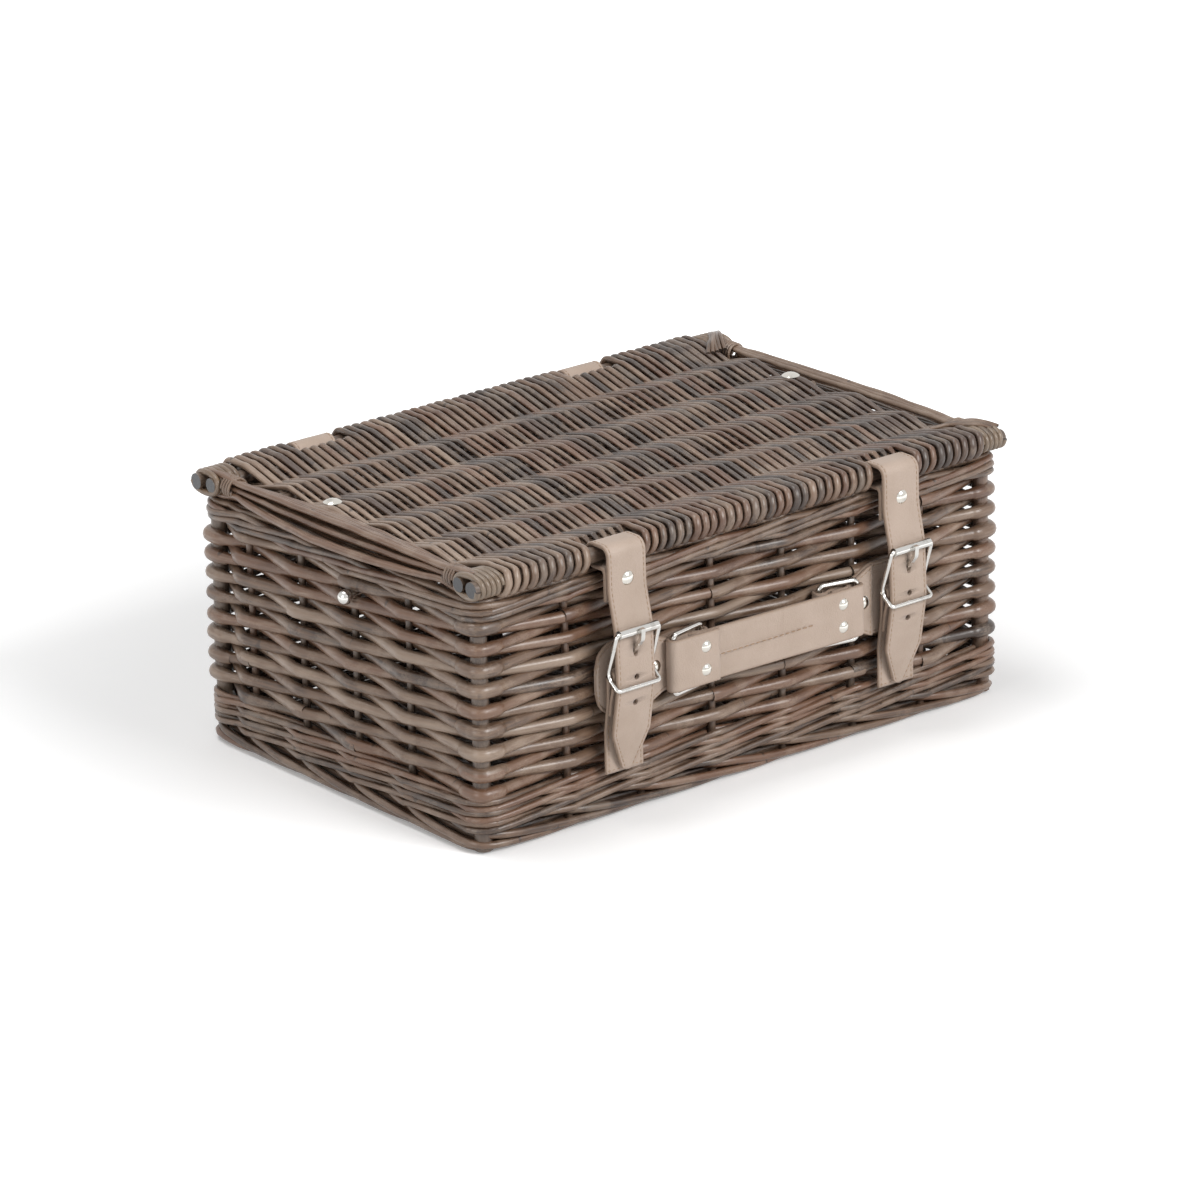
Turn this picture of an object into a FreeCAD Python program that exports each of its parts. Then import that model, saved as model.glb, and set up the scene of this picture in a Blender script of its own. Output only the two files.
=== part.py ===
"""Wicker picnic basket: willow body and lid, leather straps, roller buckles and a ringed leather handle.

The row's frame is used throughout: X runs along the length, the straps and the handle are on the -Y face,
the lid's hinge is at +Y, Z is up and the origin is the middle of the face the basket stands on.
"""
import FreeCAD, Part
import math
import os

Vector = FreeCAD.Vector

SIZES = {
    # willow body
    "body_length": 360.0, "body_width": 237.0, "wall_thickness": 12.0, "corner_round": 7.0,
    "foot_height": 11.0, "foot_inset": 1.5, "wale_height": 18.0, "wale_swell": 3.0,
    "weave_height": 95.0, "rim_height": 12.6,
    "post_diameter": 9.0, "post_inset": 7.0, "stake_diameter": 5.0, "rod_clearance": 0.1,
    "long_stake_count": 6, "long_stake_pitch": 48.5, "front_stake_shift": 4.0, "back_stake_shift": -12.0,
    "side_stake_count": 4, "side_stake_pitch": 45.0, "side_stake_shift": 12.0,
    "base_thickness": 10.0, "base_stick_diameter": 6.0,
    "base_stick_count": 5, "base_stick_pitch": 42.0,
    # lid
    "lid_end_lap": 0.5, "lid_side_lap": 4.5, "lid_end_bay": 17.5, "lid_wrap": 2.0, "lid_gap": 1.0,
    "outer_stick_diameter": 9.0, "inner_stick_diameter": 8.0, "bar_inset": 6.9, "bar_depth": 26.0,
    "lid_field_thickness": 11.0, "lid_stick_diameter": 6.0, "lid_stick_count": 4,
    "lid_stick_pitch": 42.0, "lid_step_run": 4.0,
    "end_rod_diameter": 5.0, "end_rod_count": 3, "end_rod_gap": 0.5,
    "binding_thickness": 1.5, "binding_width": 7.0, "binding_inset": 3.0,
    # leather
    "leather_thickness": 2.2, "leather_gap": 0.3, "strap_width": 25.0, "notch_margin": 0.5,
    "strap_reach": 9.1, "return_drop": 15.5, "rivet_drop": 4.4, "strap_end_reach": 6.5,
    "strap_spacing": 186.6, "hardware_shift": 4.5, "hardware_height": 77.0,
    "loop_width": 26.0, "left_loop_place": -104.5, "right_loop_place": 80.5,
    "backing_thickness": 1.8, "backing_foot": 27.0, "backing_knee": 50.0, "backing_neck": 68.0,
    "backing_end": 60.0, "backing_rivet_height": 42.0, "anchor_thickness": 2.0, "anchor_height": 40.0,
    # buckles
    "wire_diameter": 2.4, "buckle_play": 0.4, "roller_diameter": 4.6, "roller_clearance": 0.08,
    "roller_reach": 17.5, "roller_height": 106.2, "pivot_reach": 9.5, "pivot_height": 82.0,
    "keeper_height": 76.0, "prong_thickness": 2.0, "prong_width": 2.6, "prong_eye_wall": 1.7,
    "prong_slot": 4.4, "prong_hole_width": 3.4, "prong_hole_drop": 11.5, "prong_hole_height": 7.0,
    "hole_pitch": 14.2, "hole_radius": 1.6, "strap_end_height": 28.0, "strap_point": 19.0, "strap_blunt": 3.0,
    # rings and handle
    "ring_wire": 3.0, "ring_pivot_place": 40.5, "ring_span": 22.0, "ring_height": 32.6,
    "tab_height": 27.4, "handle_height": 28.4, "handle_thickness": 2.0, "handle_rise": 4.5,
    # rivets, studs and stays
    "rivet_radius": 3.8, "rivet_dome": 1.6, "rivet_shank": 1.6, "rivet_foot": 0.8,
    "anchor_rivet_place": 71.5, "stud_ball": 8.0, "stud_shank": 4.0, "side_stud_place": -16.5,
    "side_stud_height": 115.4, "stay_place": 157.0, "stay_width": 12.0, "stay_thickness": 2.0,
    "lid_stud_place": 27.5, "lid_stud_radius": 5.0, "lid_stud_dome": 1.8,
}

doc = FreeCAD.newDocument("picnic_basket")
sheet = doc.addObject("Spreadsheet::Sheet", "Sizes")
for row, (alias, value) in enumerate(SIZES.items(), start=1):
    sheet.set(f"A{row}", alias)
    sheet.set(f"B{row}", str(value))
    sheet.setAlias(f"B{row}", alias)
doc.recompute()

nodes = []


def size(name):
    """One driving dimension, read from the sheet."""
    return float(getattr(sheet, name))


def keep(item, label):
    """Name a finished sub-part, so that it is written to its own file."""
    item.Label = label
    nodes.append(item)
    return item


def bind(item, **formulas):
    """Tie an object's properties to the sheet: bind(box, Height="Sizes.rim_height")."""
    for name, formula in formulas.items():
        item.setExpression(name.replace("__", "."), formula)


# ---------------------------------------------------------------- outlines in a plane

def line_edges(points):
    """Straight edges that join the points in order."""
    return [Part.LineSegment(Vector(*a, 0), Vector(*b, 0)) for a, b in zip(points, points[1:])]


def loop_edges(points):
    """A closed outline of straight edges."""
    return line_edges(list(points) + [points[0]])


def circle_edge(centre, radius):
    """A full circle in the sketch's plane."""
    return Part.Circle(Vector(*centre, 0), Vector(0, 0, 1), radius)


def rounded(points, radii, closed=False):
    """Runs and bends of a path: each corner gets its radius, and a bend is (centre, radius, start, sweep)."""
    count = len(points)
    corners = range(count) if closed else range(1, count - 1)
    trims = {}
    for i in corners:
        before, here, after = (Vector(*points[(i + k) % count], 0) for k in (-1, 0, 1))
        ahead = (after - here).normalize()
        behind = (before - here).normalize()
        turn = math.pi - ahead.getAngle(behind)
        if radii[i] <= 0 or turn < 1e-4:
            continue
        reach = radii[i] * math.tan(turn / 2)
        start = here + behind * reach
        end = here + ahead * reach
        side = 1 if behind.cross(ahead).z < 0 else -1
        normal = Vector(0, 0, 1).cross(behind * -1) * side
        centre = start + normal * radii[i]
        first = math.atan2((start - centre).y, (start - centre).x)
        trims[i] = (start, end, (centre, radii[i], first, turn * side))
    pieces = []
    for i in range(count if closed else count - 1):
        a, b = i, (i + 1) % count
        start = trims[a][1] if a in trims else Vector(*points[a], 0)
        end = trims[b][0] if b in trims else Vector(*points[b], 0)
        if start.distanceToPoint(end) > 1e-6:
            pieces.append(("run", start, end))
        if b in trims:
            pieces.append(("bend",) + trims[b][2])
    return pieces


def offset_piece(piece, shift):
    """The edge that lies shift to the left of one run or bend, with its two ends."""
    if piece[0] == "run":
        start, end = piece[1], piece[2]
        left = Vector(0, 0, 1).cross((end - start).normalize()) * shift
        return Part.LineSegment(start + left, end + left), start + left, end + left
    _, centre, radius, first, sweep = piece
    reach = radius - shift * (1 if sweep > 0 else -1)
    ends = [centre + Vector(math.cos(first + sweep * k), math.sin(first + sweep * k), 0) * reach
            for k in (0, 0.5, 1)]
    return Part.Arc(*ends), ends[0], ends[2]


def strip_edges(points, radii, thickness):
    """Outline of a strip of the given thickness that follows a path with rounded corners."""
    pieces = rounded(points, radii)
    left = [offset_piece(piece, thickness / 2) for piece in pieces]
    right = [offset_piece(piece, -thickness / 2) for piece in pieces]
    edges = [edge for edge, _, _ in left + right]
    edges.append(Part.LineSegment(left[-1][2], right[-1][2]))
    edges.append(Part.LineSegment(left[0][1], right[0][1]))
    return edges


def band_edges(points, radii, shift):
    """A closed outline that lies shift inside a closed path with rounded corners."""
    return [offset_piece(piece, shift)[0] for piece in rounded(points, radii, closed=True)]


# ---------------------------------------------------------------- solids

PLANES = {"XY": "XY_Plane", "XZ": "XZ_Plane", "YZ": "YZ_Plane"}
NORMALS = {"XY": "z", "XZ": "y", "YZ": "x"}


def padded(name, plane, edges, length, start):
    """A body padded from an outline: length and start are formulas along the plane's normal."""
    body = doc.addObject("PartDesign::Body", name)
    sketch = body.newObject("Sketcher::SketchObject", name + "_outline")
    origin = [f for f in body.Origin.OriginFeatures if f.Role == PLANES[plane]][0]
    sketch.AttachmentSupport = [(origin, "")]
    sketch.MapMode = "FlatFace"
    sketch.addGeometry(edges, False)
    pad = body.newObject("PartDesign::Pad", name + "_pad")
    pad.Profile = sketch
    pad.Reversed = plane == "XZ"
    bind(pad, Length=length)
    bind(body, **{"Placement__Base__" + NORMALS[plane]: start})
    sketch.Visibility = False
    doc.recompute()
    return body


def rod(name, radius, length, start, direction):
    """A round rod: radius and length are formulas, start a point and direction a vector."""
    item = doc.addObject("Part::Cylinder", name)
    bind(item, Radius=radius, Height=length)
    item.Placement = FreeCAD.Placement(Vector(*start), FreeCAD.Rotation(Vector(0, 0, 1), Vector(*direction)))
    return item


def wire_run(name, radius, start, end):
    """A round wire between two points."""
    start, end = Vector(*start), Vector(*end)
    item = rod(name, radius, "1", start, end - start)
    item.setExpression("Height", None)
    item.Height = start.distanceToPoint(end)
    return item


SEAM_TURN = FreeCAD.Rotation(Vector(0, 0, 1), 90)  # a ball's seam faces +Y, clear of the wires that meet it


def ball(name, radius, centre):
    """A ball, such as the rounded corner of a bent wire."""
    item = doc.addObject("Part::Sphere", name)
    bind(item, Radius=radius)
    item.Placement = FreeCAD.Placement(Vector(*centre), SEAM_TURN)
    return item


def group(name, items):
    """Separate solids that share one node."""
    item = doc.addObject("Part::Compound", name)
    item.Links = items
    return item


def joined(name, items):
    """Solids fused to one piece."""
    item = doc.addObject("Part::MultiFuse", name)
    item.Shapes = items
    item.Refine = True
    return item


def cut(name, base, tools):
    """A solid with its holes and slots cut away."""
    item = doc.addObject("Part::Cut", name)
    item.Base = base
    item.Tool = tools[0] if len(tools) == 1 else joined(name + "_tools", tools)
    item.Refine = True
    return item


def block(name, low, high):
    """A box between two corners, used to cut."""
    item = doc.addObject("Part::Box", name)
    item.Length, item.Width, item.Height = [b - a for a, b in zip(low, high)]
    item.Placement.Base = Vector(*low)
    return item


def domed_pin(name, head, direction, radius, dome, shank, length, foot):
    """A rivet or stud: a low domed head on a shank, with a flat foot at the far end.

    head is the middle of the head's flat underside and direction points out of the dome.
    """
    out = Vector(*direction).normalize()
    centre = Vector(*head)
    turn = FreeCAD.Rotation(Vector(0, 0, 1), out)
    crown = (radius ** 2 + dome ** 2) / (2 * dome)
    cap = doc.addObject("Part::Sphere", name + "_dome")
    cap.Radius = crown
    cap.Angle1 = math.degrees(math.asin((crown - dome) / crown))
    cap.Placement = FreeCAD.Placement(centre - out * (crown - dome), turn)
    stem = doc.addObject("Part::Cylinder", name + "_stem")
    stem.Radius, stem.Height = shank, length + 0.2
    stem.Placement = FreeCAD.Placement(centre - out * length, turn)
    items = [cap, stem]
    if foot > 0:
        plate = doc.addObject("Part::Cylinder", name + "_foot")
        plate.Radius, plate.Height = radius * 0.8, foot
        plate.Placement = FreeCAD.Placement(centre - out * (length + foot), turn)
        items.append(plate)
    return joined(name, items)


# ---------------------------------------------------------------- places that several pieces share

LENGTH, WIDTH, WALL = size("body_length"), size("body_width"), size("wall_thickness")
WALE_FLOOR = size("foot_height")
WEAVE_FLOOR = WALE_FLOOR + size("wale_height")
RIM_FLOOR = WEAVE_FLOOR + size("weave_height")
RIM_TOP = RIM_FLOOR + size("rim_height")
LID_LENGTH = LENGTH + 2 * size("lid_end_lap")
LID_WIDTH = WIDTH + 2 * size("lid_side_lap")
LID_WEAVE = LID_LENGTH - 2 * size("lid_end_bay")
LID_EDGE = size("outer_stick_diameter") + 2 * size("lid_wrap")
LID_MIDDLE = RIM_TOP + size("lid_gap") + LID_EDGE / 2
STICK_LINE = LID_WIDTH / 2 - size("bar_inset")
FRONT = -WIDTH / 2
MIRROR = {"left": -1, "right": 1}
LEATHER, GAP = size("leather_thickness"), size("leather_gap")
LOOP_BEND = size("outer_stick_diameter") / 2 + GAP + LEATHER / 2
NOTCH_REACH = LOOP_BEND + LEATHER / 2 + GAP
INNER_STICK_LINE = STICK_LINE - NOTCH_REACH - GAP - size("inner_stick_diameter") / 2
RIM_FORMULA = "Sizes.foot_height + Sizes.wale_height + Sizes.weave_height"
BODY_FORMULA = RIM_FORMULA + " + Sizes.rim_height"
LID_FORMULA = "(Sizes.body_length + 2 * Sizes.lid_end_lap)"
LID_WEAVE_FORMULA = "(Sizes.body_length + 2 * Sizes.lid_end_lap - 2 * Sizes.lid_end_bay)"
ROD_END = 0.2  # the ends of the upright rods stop this far inside the foot and the rim
EDGE_FLAT = 0.1  # the straight stretch left between the two bends of a fully rounded edge
LAYER_GAP = 0.2  # the air between two layers that lie on each other
PIN_SHANK = size("rivet_shank") - 0.1  # a rivet's shank stands this far clear of its hole
TOOL_REACH = 30.0  # how far a cutting tool runs past what it cuts


def spread(count, pitch, shift=0.0):
    """Evenly spaced places about the middle."""
    return [shift + pitch * (i - (count - 1) / 2) for i in range(int(count))]


LONG_STAKES = {side: spread(size("long_stake_count"), size("long_stake_pitch"), size(f"{side}_stake_shift"))
               for side in ("front", "back")}
SIDE_STAKES = spread(size("side_stake_count"), size("side_stake_pitch"), size("side_stake_shift"))
POSTS = [(x * (LENGTH / 2 - size("post_inset")), y * (WIDTH / 2 - size("post_inset")))
         for x in (-1, 1) for y in (-1, 1)]
STRAP_PLACES = {side: size("hardware_shift") + sign * size("strap_spacing") / 2
                for side, sign in MIRROR.items()}
LOOP_PLACES = {"left": size("left_loop_place"), "right": size("right_loop_place")}


# ---------------------------------------------------------------- willow body

def wall_course(name, side, inset, height, start):
    """One side of one course of the wall, with a hole for each stake and post it is woven round."""
    hole = size("stake_diameter") / 2 + size("rod_clearance")
    post_hole = size("post_diameter") / 2 + size("rod_clearance")
    round_corner = size("corner_round")
    far_x, far_y = LENGTH / 2 - inset, WIDTH / 2 - inset
    near_x, near_y = LENGTH / 2 - WALL, WIDTH / 2 - WALL
    if side in ("front", "back"):
        sign = -1 if side == "front" else 1
        corners = [(-far_x, sign * near_y), (far_x, sign * near_y),
                   (far_x, sign * far_y), (-far_x, sign * far_y)]
        edges = [offset_piece(piece, 0)[0]
                 for piece in rounded(corners, [0, 0, round_corner, round_corner], closed=True)]
        stakes = [(x, sign * (WIDTH / 2 - WALL / 2)) for x in LONG_STAKES[side]]
        edges += [circle_edge(place, post_hole) for place in POSTS if place[1] * sign > 0]
    else:
        sign = -1 if side == "left" else 1
        corners = [(sign * near_x, -near_y), (sign * far_x, -near_y),
                   (sign * far_x, near_y), (sign * near_x, near_y)]
        edges = loop_edges(corners)
        stakes = [(sign * (LENGTH / 2 - WALL / 2), y) for y in SIDE_STAKES]
    edges += [circle_edge(place, hole) for place in stakes]
    return padded(name, "XY", edges, height, start)


SIDES = ("front", "back", "left", "right")


def hinge_band(name, side, margin, width_margin):
    """A closed band round the lid's back stick and the rim's outer part, thicker by margin all round."""
    low = RIM_FLOOR + LEATHER / 2 + GAP + 0.1
    path = [(STICK_LINE - LOOP_BEND, low), (STICK_LINE + LOOP_BEND, low),
            (STICK_LINE + LOOP_BEND, LID_MIDDLE + LOOP_BEND), (STICK_LINE - LOOP_BEND, LID_MIDDLE + LOOP_BEND)]
    radii = [LOOP_BEND - 1.5, LOOP_BEND - 1.5, LOOP_BEND, LOOP_BEND]
    edges = band_edges(path, radii, LEATHER / 2 + margin) + band_edges(path, radii, -LEATHER / 2 - margin)
    place = "left_loop_place" if side == "left" else "right_loop_place"
    return padded(name, "YZ", edges, f"Sizes.loop_width + {2 * width_margin}",
                  f"Sizes.{place} - Sizes.loop_width / 2 - {width_margin}")


def make_body():
    """Posts, stakes and the four courses of each wall, then the base."""
    upright = f"{BODY_FORMULA} - {2 * ROD_END}"
    posts = [rod(f"post_{i}", "Sizes.post_diameter / 2", upright, (x, y, ROD_END), (0, 0, 1))
             for i, (x, y) in enumerate(POSTS)]
    keep(group("posts", posts), "corner_posts")
    reach_x, reach_y = LENGTH / 2 - WALL / 2, WIDTH / 2 - WALL / 2
    rows = {"front": [(x, -reach_y) for x in LONG_STAKES["front"]],
            "back": [(x, reach_y) for x in LONG_STAKES["back"]],
            "left": [(-reach_x, y) for y in SIDE_STAKES], "right": [(reach_x, y) for y in SIDE_STAKES]}
    for side, places in rows.items():
        stakes = [rod(f"{side}_stake_{i}", "Sizes.stake_diameter / 2", upright, (x, y, ROD_END), (0, 0, 1))
                  for i, (x, y) in enumerate(places)]
        keep(group(f"{side}_stake_row", stakes), f"{side}_stakes")
    inset = size("foot_inset")
    keep(group("foot", [wall_course(f"foot_{side}", side, inset, "Sizes.foot_height", "0") for side in SIDES]),
         "foot_border")
    keep(group("wale", [wall_course(f"wale_{side}", side, -size("wale_swell"), "Sizes.wale_height",
                                    "Sizes.foot_height") for side in SIDES]), "foot_wale")
    for side in SIDES:
        panel = wall_course(f"{side}_panel", side, 0, "Sizes.weave_height",
                            "Sizes.foot_height + Sizes.wale_height")
        if side in MIRROR:
            sign = MIRROR[side]
            hole = rod(f"{side}_stud_hole", "Sizes.stud_shank / 2 + Sizes.rod_clearance",
                       "Sizes.wall_thickness * 2",
                       (sign * (LENGTH / 2 - WALL * 1.5), size("side_stud_place"), size("side_stud_height")),
                       (sign, 0, 0))
            panel = cut(f"{side}_panel_cut", panel, [hole])
        keep(panel, f"{side}_weave")
    rims = {side: wall_course(f"rim_{side}", side, 0, "Sizes.rim_height", RIM_FORMULA) for side in SIDES}
    slots = [hinge_band(f"{side}_loop_slot", side, GAP, size("notch_margin")) for side in MIRROR]
    rims["back"] = cut("rim_back_cut", rims["back"], slots)
    keep(group("rim", list(rims.values())), "rim_border")
    make_base()


def make_base():
    """The woven base panel inside the foot, with its lengthwise sticks."""
    half_x, half_y = LENGTH / 2 - WALL, WIDTH / 2 - WALL
    thick = size("base_thickness")
    rows = spread(size("base_stick_count"), size("base_stick_pitch"))
    hole = size("base_stick_diameter") / 2 + size("rod_clearance")
    outline = loop_edges([(-half_y, 0), (half_y, 0), (half_y, thick), (-half_y, thick)])
    outline += [circle_edge((y, thick / 2), hole) for y in rows]
    length = "Sizes.body_length - 2 * Sizes.wall_thickness"
    keep(padded("base", "YZ", outline, length, "Sizes.wall_thickness - Sizes.body_length / 2"), "base_weave")
    sticks = [rod(f"base_stick_{i}", "Sizes.base_stick_diameter / 2", length,
                  (-half_x, y, thick / 2), (1, 0, 0))
              for i, y in enumerate(rows)]
    keep(group("base_rows", sticks), "base_sticks")


# ---------------------------------------------------------------- lid

def bar_sticks(name, sign):
    """The two sticks that edge the lid at its front or its back, over the lid's whole length."""
    outer = rod(name + "_outer", "Sizes.outer_stick_diameter / 2", LID_FORMULA,
                (-LID_LENGTH / 2, sign * STICK_LINE, LID_MIDDLE), (1, 0, 0))
    inner = rod(name + "_inner", "Sizes.inner_stick_diameter / 2", LID_FORMULA,
                (-LID_LENGTH / 2, sign * INNER_STICK_LINE, LID_MIDDLE), (1, 0, 0))
    return group(name, [outer, inner])


def make_lid():
    """The lid: two edge bars, lengthwise sticks, the woven field, end rods and corner bindings."""
    keep(bar_sticks("front_bar", -1), "lid_front_bar")
    keep(bar_sticks("back_bar", 1), "lid_back_bar")
    rows = spread(size("lid_stick_count"), size("lid_stick_pitch"))
    sticks = [rod(f"lid_stick_{i}", "Sizes.lid_stick_diameter / 2", LID_WEAVE_FORMULA,
                  (-LID_WEAVE / 2, y, LID_MIDDLE), (1, 0, 0))
              for i, y in enumerate(rows)]
    keep(group("lid_rows", sticks), "lid_sticks")
    edge, field = LID_WIDTH / 2, LID_WIDTH / 2 - size("bar_depth")
    thick, thin = LID_EDGE / 2, size("lid_field_thickness") / 2
    step = size("lid_step_run")
    top = [(-edge, thick), (-field, thick), (-field + step, thin),
           (field - step, thin), (field, thick), (edge, thick)]
    profile = [(y, LID_MIDDLE + z) for y, z in top] + [(y, LID_MIDDLE - z) for y, z in reversed(top)]
    radii = [thick - EDGE_FLAT if abs(y) == edge else 0 for y, _ in profile]
    edges = [offset_piece(piece, 0)[0] for piece in rounded(profile, radii, closed=True)]
    play = size("rod_clearance")
    edges += [circle_edge((y, LID_MIDDLE), size("lid_stick_diameter") / 2 + play) for y in rows]
    for sign in (-1, 1):
        edges.append(circle_edge((sign * STICK_LINE, LID_MIDDLE), size("outer_stick_diameter") / 2 + play))
        edges.append(circle_edge((sign * INNER_STICK_LINE, LID_MIDDLE),
                                 size("inner_stick_diameter") / 2 + play))
    field_body = padded("lid_field", "YZ", edges, LID_WEAVE_FORMULA, f"-{LID_WEAVE_FORMULA} / 2")
    tools = []
    for side, sign in MIRROR.items():
        for name, place, width, row in (("strap", STRAP_PLACES[side], size("strap_width"), -1),
                                        ("loop", LOOP_PLACES[side], size("loop_width"), 1)):
            half = width / 2 + size("notch_margin")
            near, far = sorted((row * (STICK_LINE - NOTCH_REACH), row * (edge + 1)))
            tools.append(block(f"{side}_{name}_notch", (place - half, near, LID_MIDDLE - thick - 1),
                               (place + half, far, LID_MIDDLE + thick + 1)))
        tools.append(rod(f"{side}_lid_stud_hole", "Sizes.stud_shank / 2 + Sizes.rod_clearance",
                         str(TOOL_REACH), (sign * size("stay_place"), size("lid_stud_place"),
                                           LID_MIDDLE - TOOL_REACH / 2), (0, 0, 1)))
    keep(cut("lid_field_cut", field_body, tools), "lid_weave")
    make_lid_ends()


def make_lid_ends():
    """Rods that run front to back at each end of the lid, and the cane bindings at its corners."""
    span = INNER_STICK_LINE - size("inner_stick_diameter") / 2 - size("binding_thickness") - 2 * GAP
    pitch = size("end_rod_diameter") + size("end_rod_gap")
    first = LID_WEAVE / 2 + size("end_rod_gap") + size("end_rod_diameter") / 2
    for side, sign in MIRROR.items():
        rods = [rod(f"{side}_end_rod_{i}", "Sizes.end_rod_diameter / 2", "1",
                    (sign * (first + i * pitch), -span, LID_MIDDLE), (0, 1, 0))
                for i in range(int(size("end_rod_count")))]
        for item in rods:
            item.setExpression("Height", None)
            item.Height = 2 * span
        keep(group(f"{side}_ends", rods), f"lid_{side}_end_rods")
    bands = []
    skin = size("binding_thickness")
    reach = size("outer_stick_diameter") / 2 + LAYER_GAP + skin / 2
    bends = [reach - 0.5] * 4
    for side, sign in MIRROR.items():
        for row in (-1, 1):
            near = row * (INNER_STICK_LINE - size("inner_stick_diameter") / 2 - LAYER_GAP - skin / 2)
            far = row * (STICK_LINE + reach)
            low, high = sorted((near, far))
            path = [(low, LID_MIDDLE - reach), (high, LID_MIDDLE - reach), (high, LID_MIDDLE + reach),
                    (low, LID_MIDDLE + reach)]
            edges = band_edges(path, bends, skin / 2) + band_edges(path, bends, -skin / 2)
            middle = sign * (LID_LENGTH / 2 - size("binding_inset") - size("binding_width") / 2)
            bands.append(padded(f"{side}_binding_{row + 1}", "YZ", edges, "Sizes.binding_width",
                                f"{middle} - Sizes.binding_width / 2"))
    keep(group("bindings", bands), "lid_corner_bindings")


# ---------------------------------------------------------------- leather loops and straps

ROLLER = (FRONT - size("roller_reach"), size("roller_height"))
PIVOT = (FRONT - size("pivot_reach"), size("pivot_height"))
KEEPER = (FRONT - size("roller_reach"), size("keeper_height"))
WIRE = size("wire_diameter") / 2
BUCKLE_HALF = size("strap_width") / 2 + size("buckle_play") + WIRE
STRAP_BEHIND_ROLLER = ROLLER[0] + size("roller_diameter") / 2 + GAP + LEATHER / 2
STRAP_BEHIND_KEEPER = KEEPER[0] + WIRE + GAP + LEATHER / 2
RIVET_HEIGHT = RIM_TOP - size("rivet_drop")
STRAP_FACE = FRONT - size("strap_reach")
STRAP_RETURN = STRAP_FACE + LEATHER + 0.7
SLOT_MIDDLE = size("roller_height") - size("prong_hole_drop")
SLOT_LOW, SLOT_HIGH = [SLOT_MIDDLE + sign * size("prong_hole_height") / 2 for sign in (-1, 1)]


def strap_path():
    """The buckle strap from its inner end, round the lid's front stick and down through the buckle."""
    hang = -STICK_LINE - LOOP_BEND
    return [(STRAP_RETURN, RIM_TOP - size("return_drop")), (STRAP_RETURN, RIM_TOP - 0.5),
            (hang - 1.5, LID_MIDDLE - LOOP_BEND), (-STICK_LINE + LOOP_BEND, LID_MIDDLE - LOOP_BEND),
            (-STICK_LINE + LOOP_BEND, LID_MIDDLE + LOOP_BEND), (STRAP_FACE + 0.4, LID_MIDDLE + LOOP_BEND),
            (STRAP_FACE, RIM_TOP - 10), (STRAP_BEHIND_ROLLER, ROLLER[1]), (STRAP_BEHIND_KEEPER, KEEPER[1]),
            (FRONT - size("strap_end_reach"), size("strap_end_height"))]


def make_strap(side):
    """One buckle strap, with its punched holes and pointed tip, and the rivet that closes its loop."""
    radii = [0, 2, 1.5, LOOP_BEND, LOOP_BEND, 5, 20, 20, 20, 0]
    strip = padded(f"{side}_strap_strip", "YZ", strip_edges(strap_path(), radii, LEATHER),
                   "Sizes.strap_width",
                   f"Sizes.hardware_shift + {MIRROR[side]} * Sizes.strap_spacing / 2 - Sizes.strap_width / 2")
    place, half, slot = STRAP_PLACES[side], size("strap_width") / 2, size("prong_hole_width") / 2
    tip = size("strap_end_height")
    tools = [block(f"{side}_prong_hole", (place - slot, FRONT - TOOL_REACH, SLOT_LOW),
                   (place + slot, FRONT, SLOT_HIGH))]
    for i in (1, 2):
        tools.append(rod(f"{side}_punched_{i}", "Sizes.hole_radius", str(TOOL_REACH),
                         (place, FRONT, SLOT_MIDDLE - i * size("hole_pitch")), (0, -1, 0)))
    tools.append(rod(f"{side}_strap_rivet_hole", "Sizes.rivet_shank", str(TOOL_REACH),
                     (place, FRONT, RIVET_HEIGHT), (0, -1, 0)))
    blunt, shoulder, past = size("strap_blunt"), tip + size("strap_point"), half + 1
    for sign in (-1, 1):
        edges = loop_edges([(place + sign * blunt, tip - 1), (place + sign * past, tip - 1),
                            (place + sign * past, shoulder), (place + sign * half, shoulder)])
        tools.append(padded(f"{side}_point_{sign + 1}", "XZ", edges, str(TOOL_REACH),
                            f"-Sizes.body_width / 2 - {TOOL_REACH}"))
    keep(cut(f"{side}_strap_cut", strip, tools), f"strap_{side}")
    head = STRAP_FACE - LEATHER / 2
    foot = STRAP_RETURN + LEATHER / 2
    keep(domed_pin(f"{side}_strap_pin", (place, head, RIVET_HEIGHT), (0, -1, 0), size("rivet_radius"),
                   size("rivet_dome"), PIN_SHANK, foot - head, size("rivet_foot")),
         f"strap_rivet_{side}")


def make_hinge_loops():
    """The two leather loops that tie the lid's back stick to the rim."""
    for side in MIRROR:
        keep(hinge_band(f"{side}_hinge_band", side, 0, 0), f"hinge_loop_{side}")


# ---------------------------------------------------------------- buckles

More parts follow.
